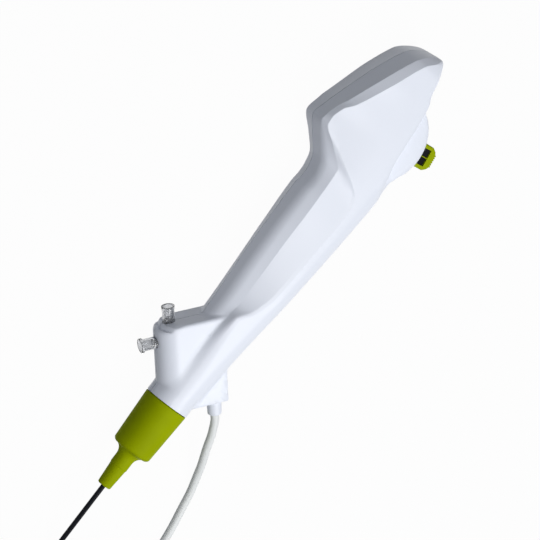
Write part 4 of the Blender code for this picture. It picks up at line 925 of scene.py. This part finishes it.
class ENDOSCOPE_OT_collar(bpy.types.Operator):
    """Build the strain relief collar of the video cable and finish the clamp behind it"""
    bl_idname = "endoscope.collar"
    bl_label = "Cable collar"

    def execute(self, context):
        colour = context.scene.endoscope_handle.shell_colour
        material = grained("white_rubber", colour, 0.45, mottle=0.015, grain=0.08)
        bore, stem, stem_end, seat = 1.6 * MM, 2.8 * MM, -4 * MM, 0.3 * MM
        corners = [(0.80 * COLLAR_RADIUS, COLLAR_LENGTH, 0.5 * MM),
                   (0.95 * COLLAR_RADIUS, 0.95 * COLLAR_LENGTH, 1.2 * MM),
                   (COLLAR_RADIUS, seat, 0.3 * MM), (stem, seat, 0.0), (stem, stem_end, 0.2 * MM),
                   (bore, stem_end, 0.2 * MM), (bore, COLLAR_LENGTH, 0.2 * MM)]
        solid = turned(softened(corners), facing(-UP_PORT, placed(COLLAR_FACE)), 72)
        add_solid("collar_moulding", solid, 40, material, "handle", ["cable_collar"])
        paint_node("cable_clamp", grained("grey_clamp", (0.30, 0.31, 0.33), 0.5))
        return {"FINISHED"}


# Lever

INNER = BOSS_RADIUS + 2 * SLIDE
OUTER = INNER + PAD_DEPTH
TOOTHED_SHARE = 0.56              # of the pad's length
TOOTH_SHARE = 0.62                # of the distance from tooth to tooth
TOOTH_ROOT = 0.6 * MM
TOOTH_INSET = 1.4 * MM
LEVER_PLACE = Matrix.Translation(placed(AXLE)) @ Matrix.Rotation(math.radians(LEVER_ANGLE), 4, "Z")


def pad_outline(crown):
    """Side view of the thumb pad without its teeth: a channel open towards the boss."""
    half, hollow, top = PAD_LENGTH / 2, OUTER - PAD_PLATE, OUTER + PAD_RISE
    channel = [(INNER, -half), (INNER, -half + PAD_WALL), (hollow, -half + PAD_WALL),
               (hollow, half - PAD_WALL), (INNER, half - PAD_WALL), (INNER, half)]
    # Height over the top and distance from the end in millimetres, share of the crown, rounding
    shoulder = ((-3.2, 0.0, 0.0, 0.9), (-0.75, 1.3, 1 - 1.3 / 3.4, 1.2), (0.0, 3.4, 0.0, 2.0))
    end = [(top + rise * MM - crown * share, half - back * MM, rounding * MM)
           for rise, back, share, rounding in shoulder]
    other_end = [(x, -y, rounding) for x, y, rounding in reversed(end)]
    return softened([(x, y, 0.3 * MM) for x, y in channel] + end + other_end)


class ENDOSCOPE_OT_lever(bpy.types.Operator):
    """Build the green thumb pad with its teeth and finish the arm, the axle and the pulling gear"""
    bl_idname = "endoscope.lever"
    bl_label = "Thumb lever"

    def execute(self, context):
        handle, settings = context.scene.endoscope_handle, context.scene.endoscope_lever
        green = grained("green_pad_rubber", handle.sleeve_colour, 0.5, mottle=0.04, grain=0.2,
                        grain_size=FINE_GRAIN, shine=0.05)
        plan = pad_outline(settings.crown)
        rings = []
        for inset, height in rim_steps(PAD_EDGE, PAD_HALF, 4):
            share = 1 - inset / (PAD_LENGTH / 2)
            rings.append([LEVER_PLACE @ Vector((min(x, OUTER + PAD_RISE - inset), y * share, height))
                          for x, y in plan])
        add_solid("thumb_pad", lofted(rings), 50, green, "lever", ["lever_pad"])

        pitch = TOOTHED_SHARE * PAD_LENGTH / settings.teeth
        tall = settings.tooth_height + TOOTH_ROOT
        middle = OUTER + PAD_RISE + settings.tooth_height - tall / 2
        size = (tall, TOOTH_SHARE * pitch, 2 * PAD_HALF - TOOTH_INSET)
        tooth_box = rounded_box(size, 0.22 * MM, LEVER_PLACE.to_3x3().to_4x4(), 3)
        tooth = solid_mesh("thumb_tooth", *tooth_box, 50)
        first = LEVER_PLACE @ Vector((middle, -0.5 * pitch * (settings.teeth - 1), 0))
        step = LEVER_PLACE.to_3x3() @ Vector((0, pitch, 0))
        teeth = repeat_piece("thumb_teeth", tooth, settings.teeth, first, step, green)
        add_piece("thumb_teeth", teeth, green, "lever", ())
        hollow = OUTER - PAD_PLATE
        rib_place = LEVER_PLACE @ Matrix.Translation(((INNER + hollow) / 2, 0, PAD_HALF - 0.5 * MM))
        rib = rounded_box((hollow - INNER, 0.45 * MM, 0.75 * MM), 0.15 * MM, rib_place)
        add_solid("thumb_pad_rib", rib, 50, green, "lever", ())

        paint_node("lever_arm", grained("black_moulding", settings.arm_colour, 0.6, shine=0.02))
        paint_node("lever_axle", grained("turned_steel", (0.60, 0.61, 0.63), 0.24, metallic=1.0))
        paint_node("pull_wheel", grained("wheel_moulding", (0.32, 0.33, 0.35), 0.5))
        wire = grained("drawn_wire", (0.55, 0.56, 0.58), 0.3, metallic=1.0, grain=0.15, grain_size=0.1 * MM)
        for node in ("pull_wire_upper", "pull_wire_lower", "wire_guide_upper", "wire_guide_lower"):
            paint_node(node, wire)
        paint_node("wire_guide_block", grained("guide_moulding", (0.36, 0.37, 0.39), 0.5))
        return {"FINISHED"}


# Circuit board

def board_surface(name):
    """Solder mask with a grid of copper lines under it."""
    mask, copper = (0.02, 0.13, 0.05), (0.10, 0.34, 0.13)
    material = grained(name, mask, 0.4, mottle=0.08)
    nodes = material.node_tree.nodes
    place = next(node for node in nodes if node.type == "TEX_COORD")
    tracks = set_inputs(nodes.new("ShaderNodeTexBrick"), {
        "Scale": 420.0, "Mortar Size": 0.05, "Color1": (*mask, 1.0), "Color2": (*mask, 1.0),
        "Mortar": (*copper, 1.0)})
    join(material.node_tree, (place, "Object", tracks, "Vector"),
         (tracks, "Color", nodes["Principled BSDF"], "Base Color"))
    return material


class ENDOSCOPE_OT_board(bpy.types.Operator):
    """Finish the circuit board and its chips in the head"""
    bl_idname = "endoscope.board"
    bl_label = "Circuit board"

    def execute(self, context):
        paint_node("circuit_board", board_surface("solder_mask"))
        chip = grained("chip_package", (0.015, 0.015, 0.017), 0.55, grain=0.2, grain_size=0.15 * MM)
        for k in range(3):
            paint_node(f"board_chip_{k + 1}", chip)
        return {"FINISHED"}


# Cords

FALL = 0.657                      # sideways drift per drop that keeps a falling cord straight in the view
TUBE_Z = REST + TUBE_RADIUS + LIFT
CABLE_Z = REST + CABLE_RADIUS + LIFT
TUBE_COIL = Vector((TUBE_COIL_X, FALL * TUBE_Z - TUBE_COIL_RADIUS, 0.0))
CABLE_COIL = Vector((CABLE_COIL_X, CABLE_COIL_Y, 0.0))
COIL_STEPS = 36                   # in one turn
PLUG_LOW, PLUG_HIGH = (Vector(corner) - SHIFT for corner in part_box("plug_boot"))


def smooth_route(points, spacing):
    """Points at an even spacing on a smooth curve through the route's own points."""
    points = [Vector(p) for p in points]
    ends = [2 * points[0] - points[1]] + points + [2 * points[-1] - points[-2]]
    fine, steps = [], 16
    for a, b, c, d in zip(ends, ends[1:], ends[2:], ends[3:]):
        for k in range(steps):
            t = k / steps
            fine.append(0.5 * (2 * b + (c - a) * t + (2 * a - 5 * b + 4 * c - d) * t * t
                               + (3 * b - a - 3 * c + d) * t ** 3))
    fine.append(points[-1])
    route, left = [fine[0]], spacing
    for a, b in zip(fine, fine[1:]):
        step = (b - a).length
        while step >= left:
            a = a.lerp(b, left / step)
            route.append(a)
            step = (b - a).length
            left = spacing
        left -= step
    if (route[-1] - fine[-1]).length < 0.4 * spacing:
        route.pop()
    return route + [fine[-1]]


def coil_turns(centre, radius, start, total, slots, window, base_z):
    """A coil wound counter-clockwise from an angle, each turn in its own slot of (outward, upward)."""
    places = []
    for k in range(1, round(total / 360 * COIL_STEPS) + 1):
        walked = 360 * k / COIL_STEPS
        out, up = slots[0]
        for turn, (before, after) in enumerate(zip(slots, slots[1:])):
            end = 360 * (turn + 1) - window * turn
            share = ease((walked - end + window) / window)
            out += (after[0] - before[0]) * share
            up += (after[1] - before[1]) * share
        angle = math.radians(start + walked)
        places.append(Vector((centre.x + (radius + out) * math.cos(angle),
                              centre.y + (radius + out) * math.sin(angle), base_z + up)))
    return places


def cord_curve(name, route, radius, spacing):
    """A round cord along a route, as one open spline."""
    curve = bpy.data.curves.new(name, "CURVE")
    curve.dimensions = "3D"
    curve.bevel_depth = radius
    curve.bevel_resolution = 5
    curve.use_fill_caps = True
    places = smooth_route(route, spacing)
    spline = curve.splines.new("POLY")
    spline.points.add(len(places) - 1)
    for point, place in zip(spline.points, places):
        point.co = (*placed(place), 1.0)
    spline.use_smooth = True
    return curve, sum((b - a).length for a, b in zip(places, places[1:]))


def tie_solid(centre, radius, angle, half_size, middle, width):
    """A flat strap round a coil's bundle, as a rounded loop seen along the cord."""
    turn = math.radians(angle)
    outward = Vector((math.cos(turn), math.sin(turn), 0.0))
    forward = Vector((-math.sin(turn), math.cos(turn), 0.0))
    wall, steps = 0.5 * MM, 48
    rings = []
    for k in range(steps):
        a = math.tau * k / steps
        spread = (abs(math.cos(a)) ** 4 + abs(math.sin(a)) ** 4) ** -0.25
        ring = []
        for thick, along_cord in ((0, -0.5), (wall, -0.5), (wall, 0.5), (0, 0.5)):
            out = (half_size[0] + thick) * math.cos(a) * spread
            up = (half_size[1] + thick) * math.sin(a) * spread
            ring.append(placed(centre + outward * (radius + middle[0] + out)
                               + Vector((0, 0, middle[1] + up)) + forward * width * along_cord))
        rings.append(ring)
    return lofted(rings, closed=True)


HINGES = [Vector(joint["pos_m"]) for joint in frame["joints"] if joint["name"].startswith("bend_hinge")]


def tube_path():
    """The insertion tube: out of the nozzle, down to the table, round its coil, on to the bending section."""
    start_x = NOZZLE_LENGTH - 3.0 * MM
    # Places along the handle and how much of the way down the tube is there
    falls = ((start_x, 0.0), (2 * MM, 0.0), (-8 * MM, 0.035), (-20 * MM, 0.2), (-34 * MM, 0.56),
             (-48 * MM, 0.88), (-58 * MM, 0.985), (-66 * MM, 1.0))
    route = [Vector((x, FALL * TUBE_Z * share, TUBE_Z * share)) for x, share in falls]
    lane = TUBE_RADIUS + LIFT
    top_y = FALL * TUBE_Z
    route += [Vector((TUBE_COIL.x + 12 * MM, top_y + 0.1 * lane, TUBE_Z)),
              Vector((TUBE_COIL.x + 5 * MM, top_y + 0.7 * lane, TUBE_Z))]
    slots = [(lane, 0.0), (-lane, 0.0), (-lane, 2 * lane), (lane, 2 * lane)]
    route += coil_turns(TUBE_COIL, TUBE_COIL_RADIUS, 90, 4.25 * 360, slots, 55, TUBE_Z)
    side_x = TUBE_COIL.x - TUBE_COIL_RADIUS
    end = HINGES[0] - SHIFT + Vector((0, 4.0 * MM, 0))
    # Distance past the coil in millimetres, then how many lanes out and up
    for fall, out, up in ((6, 1.0, 2.0), (11, 0.85, 1.5), (17, 0.5, 0.6), (23, 0.15, 0.12)):
        route.append(Vector((side_x - lane * out, TUBE_COIL.y - fall * MM, TUBE_Z + lane * up)))
    return route + [Vector((side_x, TUBE_COIL.y - 29 * MM, TUBE_Z)), end]


def cable_path():
    """The video cable: out of its collar, down to the table, round its coil and on to the plug."""
    start = COLLAR_FACE - UP_PORT * (COLLAR_LENGTH + 0.45 * MM)
    # Places from the collar in millimetres, on the way down to the table
    falls = ((-5.8, -4.6, -0.5), (-9.8, -7.3, -1.6), (-14.8, -10.3, -3.4), (-19.8, -13.9, -5.7),
             (-24.8, -17.6, -8.0), (-29.8, -20.7, -10.2), (-34.8, -23.4, -11.8), (-39.8, -25.6, -12.8),
             (-49.8, -28.0, -13.3), (-59.8, -30.1, -13.3))
    route = [start + UP_PORT * 5 * MM, start, start - UP_PORT * 1.3 * CABLE_RADIUS]
    for fall in falls:
        place = start + Vector(fall) * MM
        route.append(Vector((place.x, place.y, max(place.z, CABLE_Z))))
    lane, row, inset = 2.16 * MM, 3.73 * MM, 1.2 * MM
    top_y = CABLE_COIL.y + CABLE_COIL_RADIUS
    route += [Vector((CABLE_COIL.x + 27 * MM, top_y, CABLE_Z)),
              Vector((CABLE_COIL.x + 14 * MM, top_y + 0.15 * lane, CABLE_Z)),
              Vector((CABLE_COIL.x + 6 * MM, top_y + 0.4 * lane, CABLE_Z))]
    places = ((1, 0), (-1, 0), (-2, 1), (0, 1), (-1, 2), (0, 3), (1, 2), (2, 1), (2, 1))
    slots = [(out * lane - inset, up * row) for out, up in places]
    coil = coil_turns(CABLE_COIL, CABLE_COIL_RADIUS, 90, 8.5 * 360, slots, 40, CABLE_Z)
    # The last half turn comes down from the bundle and lies beside it
    last = len(coil) - COIL_STEPS // 2
    down_steps, beside = 15, 5.2 * MM
    for k, place in enumerate(coil[last:]):
        share = ease((k + 1) / down_steps)
        radial = (place.xy - CABLE_COIL.xy).normalized()
        outer = (2 * lane - inset) * (1 - share) + beside * share
        spot = CABLE_COIL.xy + radial * (CABLE_COIL_RADIUS + outer)
        coil[last + k] = Vector((spot.x, spot.y, CABLE_Z + row * (1 - share)))
    route += coil
    low_y = CABLE_COIL.y - CABLE_COIL_RADIUS
    # Distance past the coil and out from its line, in millimetres
    for ahead, out in ((5, 5.0), (10, 4.5), (15, 3.2), (20, 1.3), (24, 0.2)):
        route.append(Vector((CABLE_COIL.x + ahead * MM, low_y - out * MM, CABLE_Z)))
    plug_z = (PLUG_LOW.z + PLUG_HIGH.z) / 2
    return route + [Vector((PLUG_LOW.x - 3.5 * MM, low_y, (CABLE_Z + plug_z) / 2)),
                    Vector((PLUG_LOW.x + 2 * MM, low_y, plug_z))]


def sheath_mesh(k, wall):
    """A stretch of the sheath, from the middle of one link to the middle of the next."""
    back = 3.3 * MM if k == 0 else LINK_PITCH / 2
    ahead = 0.8 * MM if k == LINK_COUNT else LINK_PITCH / 2
    inner, steps = 1.22 * MM, 8
    profile = [(inner + wall, back)]
    profile += [(inner + wall, back - (back + ahead) * s / steps) for s in range(1, steps + 1)]
    profile += [(inner, -ahead + (back + ahead) * s / steps) for s in range(steps + 1)]
    return solid_mesh(f"bend_sheath_{k + 1:02d}", *turned(profile, facing((0, 1, 0), HINGES[k]), 32), 40)


class ENDOSCOPE_OT_insertion_tube(bpy.types.Operator):
    """Lay the insertion tube with its coil and its tie, and cover the bending section with its sheath"""
    bl_idname = "endoscope.insertion_tube"
    bl_label = "Insertion tube"

    def execute(self, context):
        settings = context.scene.endoscope_cords
        black = grained("black_sheath", settings.tube_colour, 0.4, mottle=0.05, grain=0.02, shine=0.06)
        curve, length = cord_curve("insertion_cord", tube_path(), TUBE_RADIUS, 1.9 * MM)
        tube = add_piece("insertion_cord", curve, black, "handle",
                         ["insertion_tube", "insertion_tube_coil", "insertion_tube_tail"])
        tie = tie_solid(TUBE_COIL, TUBE_COIL_RADIUS, 35, (2.75 * MM, 2.4 * MM),
                        (0.0, TUBE_Z + TUBE_RADIUS + 0.25 * MM), settings.tie_width)
        strap = grained("strap_weave", (0.70, 0.71, 0.72), 0.7, grain=0.4, grain_size=0.3 * MM)
        on_tube = [add_solid("insertion_tie", tie, 40, strap)]
        links = ["handle"] + [f"link_{k:02d}" for k in range(1, LINK_COUNT + 1)] + ["tip"]
        for k, (before, after) in enumerate(zip(links, links[1:])):
            piece = linked(f"bend_sheath_{k + 1:02d}", sheath_mesh(k, settings.sheath_wall), black)
            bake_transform(piece)
            on_tube.append(piece)
        steel = grained("link_steel", (0.58, 0.59, 0.61), 0.3, metallic=1.0)
        nodes = ["bend_base"] + [f"bend_link_{k:02d}" for k in range(1, LINK_COUNT + 1)]
        for node in nodes:
            paint_node(node, steel)
        paint_node("tip_housing", grained("tip_moulding", (0.015, 0.015, 0.017), 0.3))
        paint_node("camera_window", grained("lens_glass", (0.02, 0.025, 0.05), 0.05, wear=0.01, grain=0.0))
        for side in ("left", "right"):
            paint_node("tip_light_" + side, grained("light_glass_" + side, (0.9, 0.88, 0.75), 0.1))
        on_tube += [frame["nodes"][node] for node in nodes + ["tip_housing", "camera_window"]]
        start = tube_path()[0]
        return {"FINISHED"}


class ENDOSCOPE_OT_video_cable(bpy.types.Operator):
    """Lay the video cable with its coil, its tie and its plug"""
    bl_idname = "endoscope.video_cable"
    bl_label = "Video cable"

    def execute(self, context):
        settings = context.scene.endoscope_cords
        jacket = grained("cable_jacket", settings.cable_colour, 0.42, mottle=0.0, grain=0.0, shine=0.25)
        curve, length = cord_curve("video_cord", cable_path(), CABLE_RADIUS, 2.6 * MM)
        cable = add_piece("video_cord", curve, jacket, "handle",
                          ["video_cable", "video_cable_coil", "video_cable_tail"])
        tie = tie_solid(CABLE_COIL, CABLE_COIL_RADIUS, -20, (6.9 * MM, 7.3 * MM),
                        (-1.2 * MM, CABLE_Z + 5.9 * MM), settings.tie_width)
        strap = grained("cable_strap_weave", (0.25, 0.26, 0.28), 0.75, grain=0.4, grain_size=0.3 * MM)
        on_cable = [add_solid("cable_tie", tie, 40, strap)]

        low, high = (Vector(corner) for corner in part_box("plug_housing"))
        middle, size = (low + high) / 2, high - low
        white = grained("plug_moulding", context.scene.endoscope_handle.shell_colour, 0.36)
        housing = rounded_box(tuple(size), 1.6 * MM, Matrix.Translation(middle), 6)
        on_cable.append(add_solid("plug_body", housing, 35, white, "handle", ["plug_housing"]))
        rib_box = rounded_box((0.9 * MM, size.y - 3.4 * MM, 0.8 * MM), 0.3 * MM, Matrix.Identity(4))
        rib = solid_mesh("plug_rib_seed", *rib_box)
        start = Vector((middle.x - 5.6 * MM, middle.y, high.z - 0.45 * MM))
        ribs = repeat_piece("plug_ribs", rib, 6, start, (1.9 * MM, 0, 0), white)
        on_cable.append(add_piece("plug_ribs", ribs, white, "handle"))

        low, high = (Vector(corner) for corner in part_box("plug_boot"))
        centre = (low + high) / 2
        run = high.x - low.x
        boot_radius = (high.z - low.z) / 2
        profile = [(0.0, run), (boot_radius, run), (boot_radius, 0.78 * run)]
        for k in range(4):
            near = 0.70 - 0.19 * k
            far = near - 0.08
            profile += [(boot_radius * (0.93 - 0.1 * k), near * run),
                        (boot_radius * (0.78 - 0.07 * k), near * run),
                        (boot_radius * (0.76 - 0.07 * k), far * run),
                        (boot_radius * (0.88 - 0.09 * k), far * run)]
        profile += [(1.1 * CABLE_RADIUS, 0.0), (0.0, 0.0)]
        boot = turned(profile, facing((1, 0, 0), (low.x, centre.y, centre.z)), 64)
        grey = grained("boot_rubber", (0.33, 0.34, 0.36), 0.6, grain=0.15)
        on_cable.append(add_solid("plug_boot_moulding", boot, 35, grey, "handle", ["plug_boot"]))
        paint_node("plug_connector", grained("connector_shell", (0.80, 0.62, 0.28), 0.25, metallic=1.0))
        on_cable.append(frame["nodes"]["plug_connector"])
        start = COLLAR_FACE - UP_PORT * COLLAR_LENGTH
        return {"FINISHED"}


# Stage

TO_CAMERA = Vector((0.0, 0.549, 0.8358)).normalized()
IMAGE_UP = Vector((0.7944, 0.5076, -0.3335)).normalized()
TARGET = Vector((0.0007, -0.0013, 0.0155))
KEY_PLACE, KEY_SIZE = (-0.3, -0.75, 1.25), (0.8, 0.6)
TOP_PLACE, TOP_SIZE = (0.0, 0.0, 1.5), (0.7, 0.7)
SKY = (0.86, 0.92, 1.0, 1.0)
WHITE = (1.0, 1.0, 1.0, 1.0)
GLOW_SHARE = 0.97                 # of the floor's own white in what the camera sees
SENSOR_WIDTH = 36.0               # in millimetres, like the lens


def seen_share(tree):
    """1 for what the camera, a reflection or clear plastic sees, 0 for light on the object."""
    path = tree.nodes.new("ShaderNodeLightPath")
    source, output = path, "Is Camera Ray"
    for name in ("Is Glossy Ray", "Is Transmission Ray"):
        both = tree.nodes.new("ShaderNodeMath")
        both.operation = "MAXIMUM"
        join(tree, (source, output, both, 0), (path, name, both, 1))
        source, output = both, 0
    return source


def white_floor(colour):
    """A floor that shows nearly white, with only a trace of the object's shadow."""
    material = bpy.data.materials.new("pale_floor")
    material.use_nodes = True
    tree = material.node_tree
    shader = set_inputs(tree.nodes["Principled BSDF"], {
        "Base Color": (*colour, 1.0), "Roughness": 0.9, "Specular IOR Level": 0.1})
    glow = set_inputs(tree.nodes.new("ShaderNodeEmission"), {"Strength": 1.0})
    blend = tree.nodes.new("ShaderNodeMixShader")
    share = set_inputs(tree.nodes.new("ShaderNodeMath"), {1: GLOW_SHARE})
    share.operation = "MULTIPLY"
    join(tree, (seen_share(tree), 0, share, 0), (share, 0, blend, 0), (shader, 0, blend, 1),
         (glow, 0, blend, 2), (blend, 0, tree.nodes["Material Output"], "Surface"))
    return material


def white_world(context, strength):
    """Soft light from all round; the camera sees plain white."""
    world = bpy.data.worlds.new("studio")
    context.scene.world = world
    world.use_nodes = True
    tree = world.node_tree
    light = set_inputs(tree.nodes["Background"], {"Color": SKY, "Strength": strength})
    seen = set_inputs(tree.nodes.new("ShaderNodeBackground"), {"Color": WHITE, "Strength": 1.0})
    blend = tree.nodes.new("ShaderNodeMixShader")
    join(tree, (seen_share(tree), 0, blend, 0), (light, 0, blend, 1), (seen, 0, blend, 2),
         (blend, 0, tree.nodes["World Output"], "Surface"))


def area_lamp(name, place, size, power):
    """A rectangular lamp that faces the handle."""
    lamp = bpy.data.lights.new(name, "AREA")
    lamp.shape = "RECTANGLE"
    lamp.size, lamp.size_y = size
    lamp.energy = power
    holder = linked(name, lamp)
    holder.location = place
    holder.rotation_euler = (TARGET - Vector(place)).to_track_quat("-Z", "Y").to_euler()


class ENDOSCOPE_OT_stage(bpy.types.Operator):
    """Set up the floor, the soft lights and the camera at the photograph's view"""
    bl_idname = "endoscope.stage"
    bl_label = "Stage"

    def execute(self, context):
        settings = context.scene.endoscope_stage
        half = settings.floor_size / 2
        mesh = bpy.data.meshes.new("floor")
        mesh.from_pydata([(-half, -half, 0), (half, -half, 0), (half, half, 0), (-half, half, 0)], [],
                         [(0, 1, 2, 3)])
        floor = linked("floor", mesh, white_floor(settings.floor_colour))

        white_world(context, settings.ambient)
        area_lamp("key_lamp", KEY_PLACE, KEY_SIZE, settings.key)
        area_lamp("top_lamp", TOP_PLACE, TOP_SIZE, settings.fill)

        camera = bpy.data.cameras.new("photograph_view")
        camera.sensor_fit = "HORIZONTAL"
        camera.sensor_width = SENSOR_WIDTH
        camera.lens = SENSOR_WIDTH * settings.distance / settings.frame_width
        camera.clip_start, camera.clip_end = 0.05, 20.0
        viewer = linked("photograph_view", camera)
        right = IMAGE_UP.cross(TO_CAMERA).normalized()
        up = TO_CAMERA.cross(right)
        turn = Matrix((right, up, TO_CAMERA)).transposed().to_4x4()
        viewer.matrix_world = Matrix.Translation(TARGET + TO_CAMERA * settings.distance) @ turn
        context.scene.camera = viewer
        context.scene.view_settings.view_transform = "Standard"
        return {"FINISHED"}


# Panel

PIECES = (ENDOSCOPE_OT_stage, ENDOSCOPE_OT_insertion_tube, ENDOSCOPE_OT_video_cable,
          ENDOSCOPE_OT_shells, ENDOSCOPE_OT_sleeve, ENDOSCOPE_OT_ports, ENDOSCOPE_OT_collar,
          ENDOSCOPE_OT_lever, ENDOSCOPE_OT_board)
SETTINGS = {"endoscope_handle": HandleSettings, "endoscope_lever": LeverSettings,
            "endoscope_cords": CordSettings, "endoscope_stage": StageSettings}


class ENDOSCOPE_PT_panel(bpy.types.Panel):
    bl_label = "Flexible Endoscope"
    bl_idname = "ENDOSCOPE_PT_panel"
    bl_space_type = "VIEW_3D"
    bl_region_type = "UI"
    bl_category = "Endoscope"

    def draw(self, context):
        for name, group in SETTINGS.items():
            box = self.layout.box()
            for field in group.__annotations__:
                box.prop(getattr(context.scene, name), field)
        for piece in PIECES:
            self.layout.operator(piece.bl_idname)


def register():
    """Add the settings, operators and panel."""
    for kind in (*SETTINGS.values(), *PIECES, ENDOSCOPE_PT_panel):
        bpy.utils.register_class(kind)
    for name, group in SETTINGS.items():
        setattr(bpy.types.Scene, name, PointerProperty(type=group))


def unregister():
    """Take the settings, operators and panel away again."""
    for name in SETTINGS:
        delattr(bpy.types.Scene, name)
    for kind in reversed((*SETTINGS.values(), *PIECES, ENDOSCOPE_PT_panel)):
        bpy.utils.unregister_class(kind)


def main():
    """Build every piece in order."""
    register()
    bpy.ops.endoscope.stage()
    bpy.ops.endoscope.insertion_tube()
    bpy.ops.endoscope.video_cable()
    bpy.ops.endoscope.shells()
    bpy.ops.endoscope.sleeve()
    bpy.ops.endoscope.ports()
    bpy.ops.endoscope.collar()
    bpy.ops.endoscope.lever()
    bpy.ops.endoscope.board()


if __name__ == "__main__":
    main()
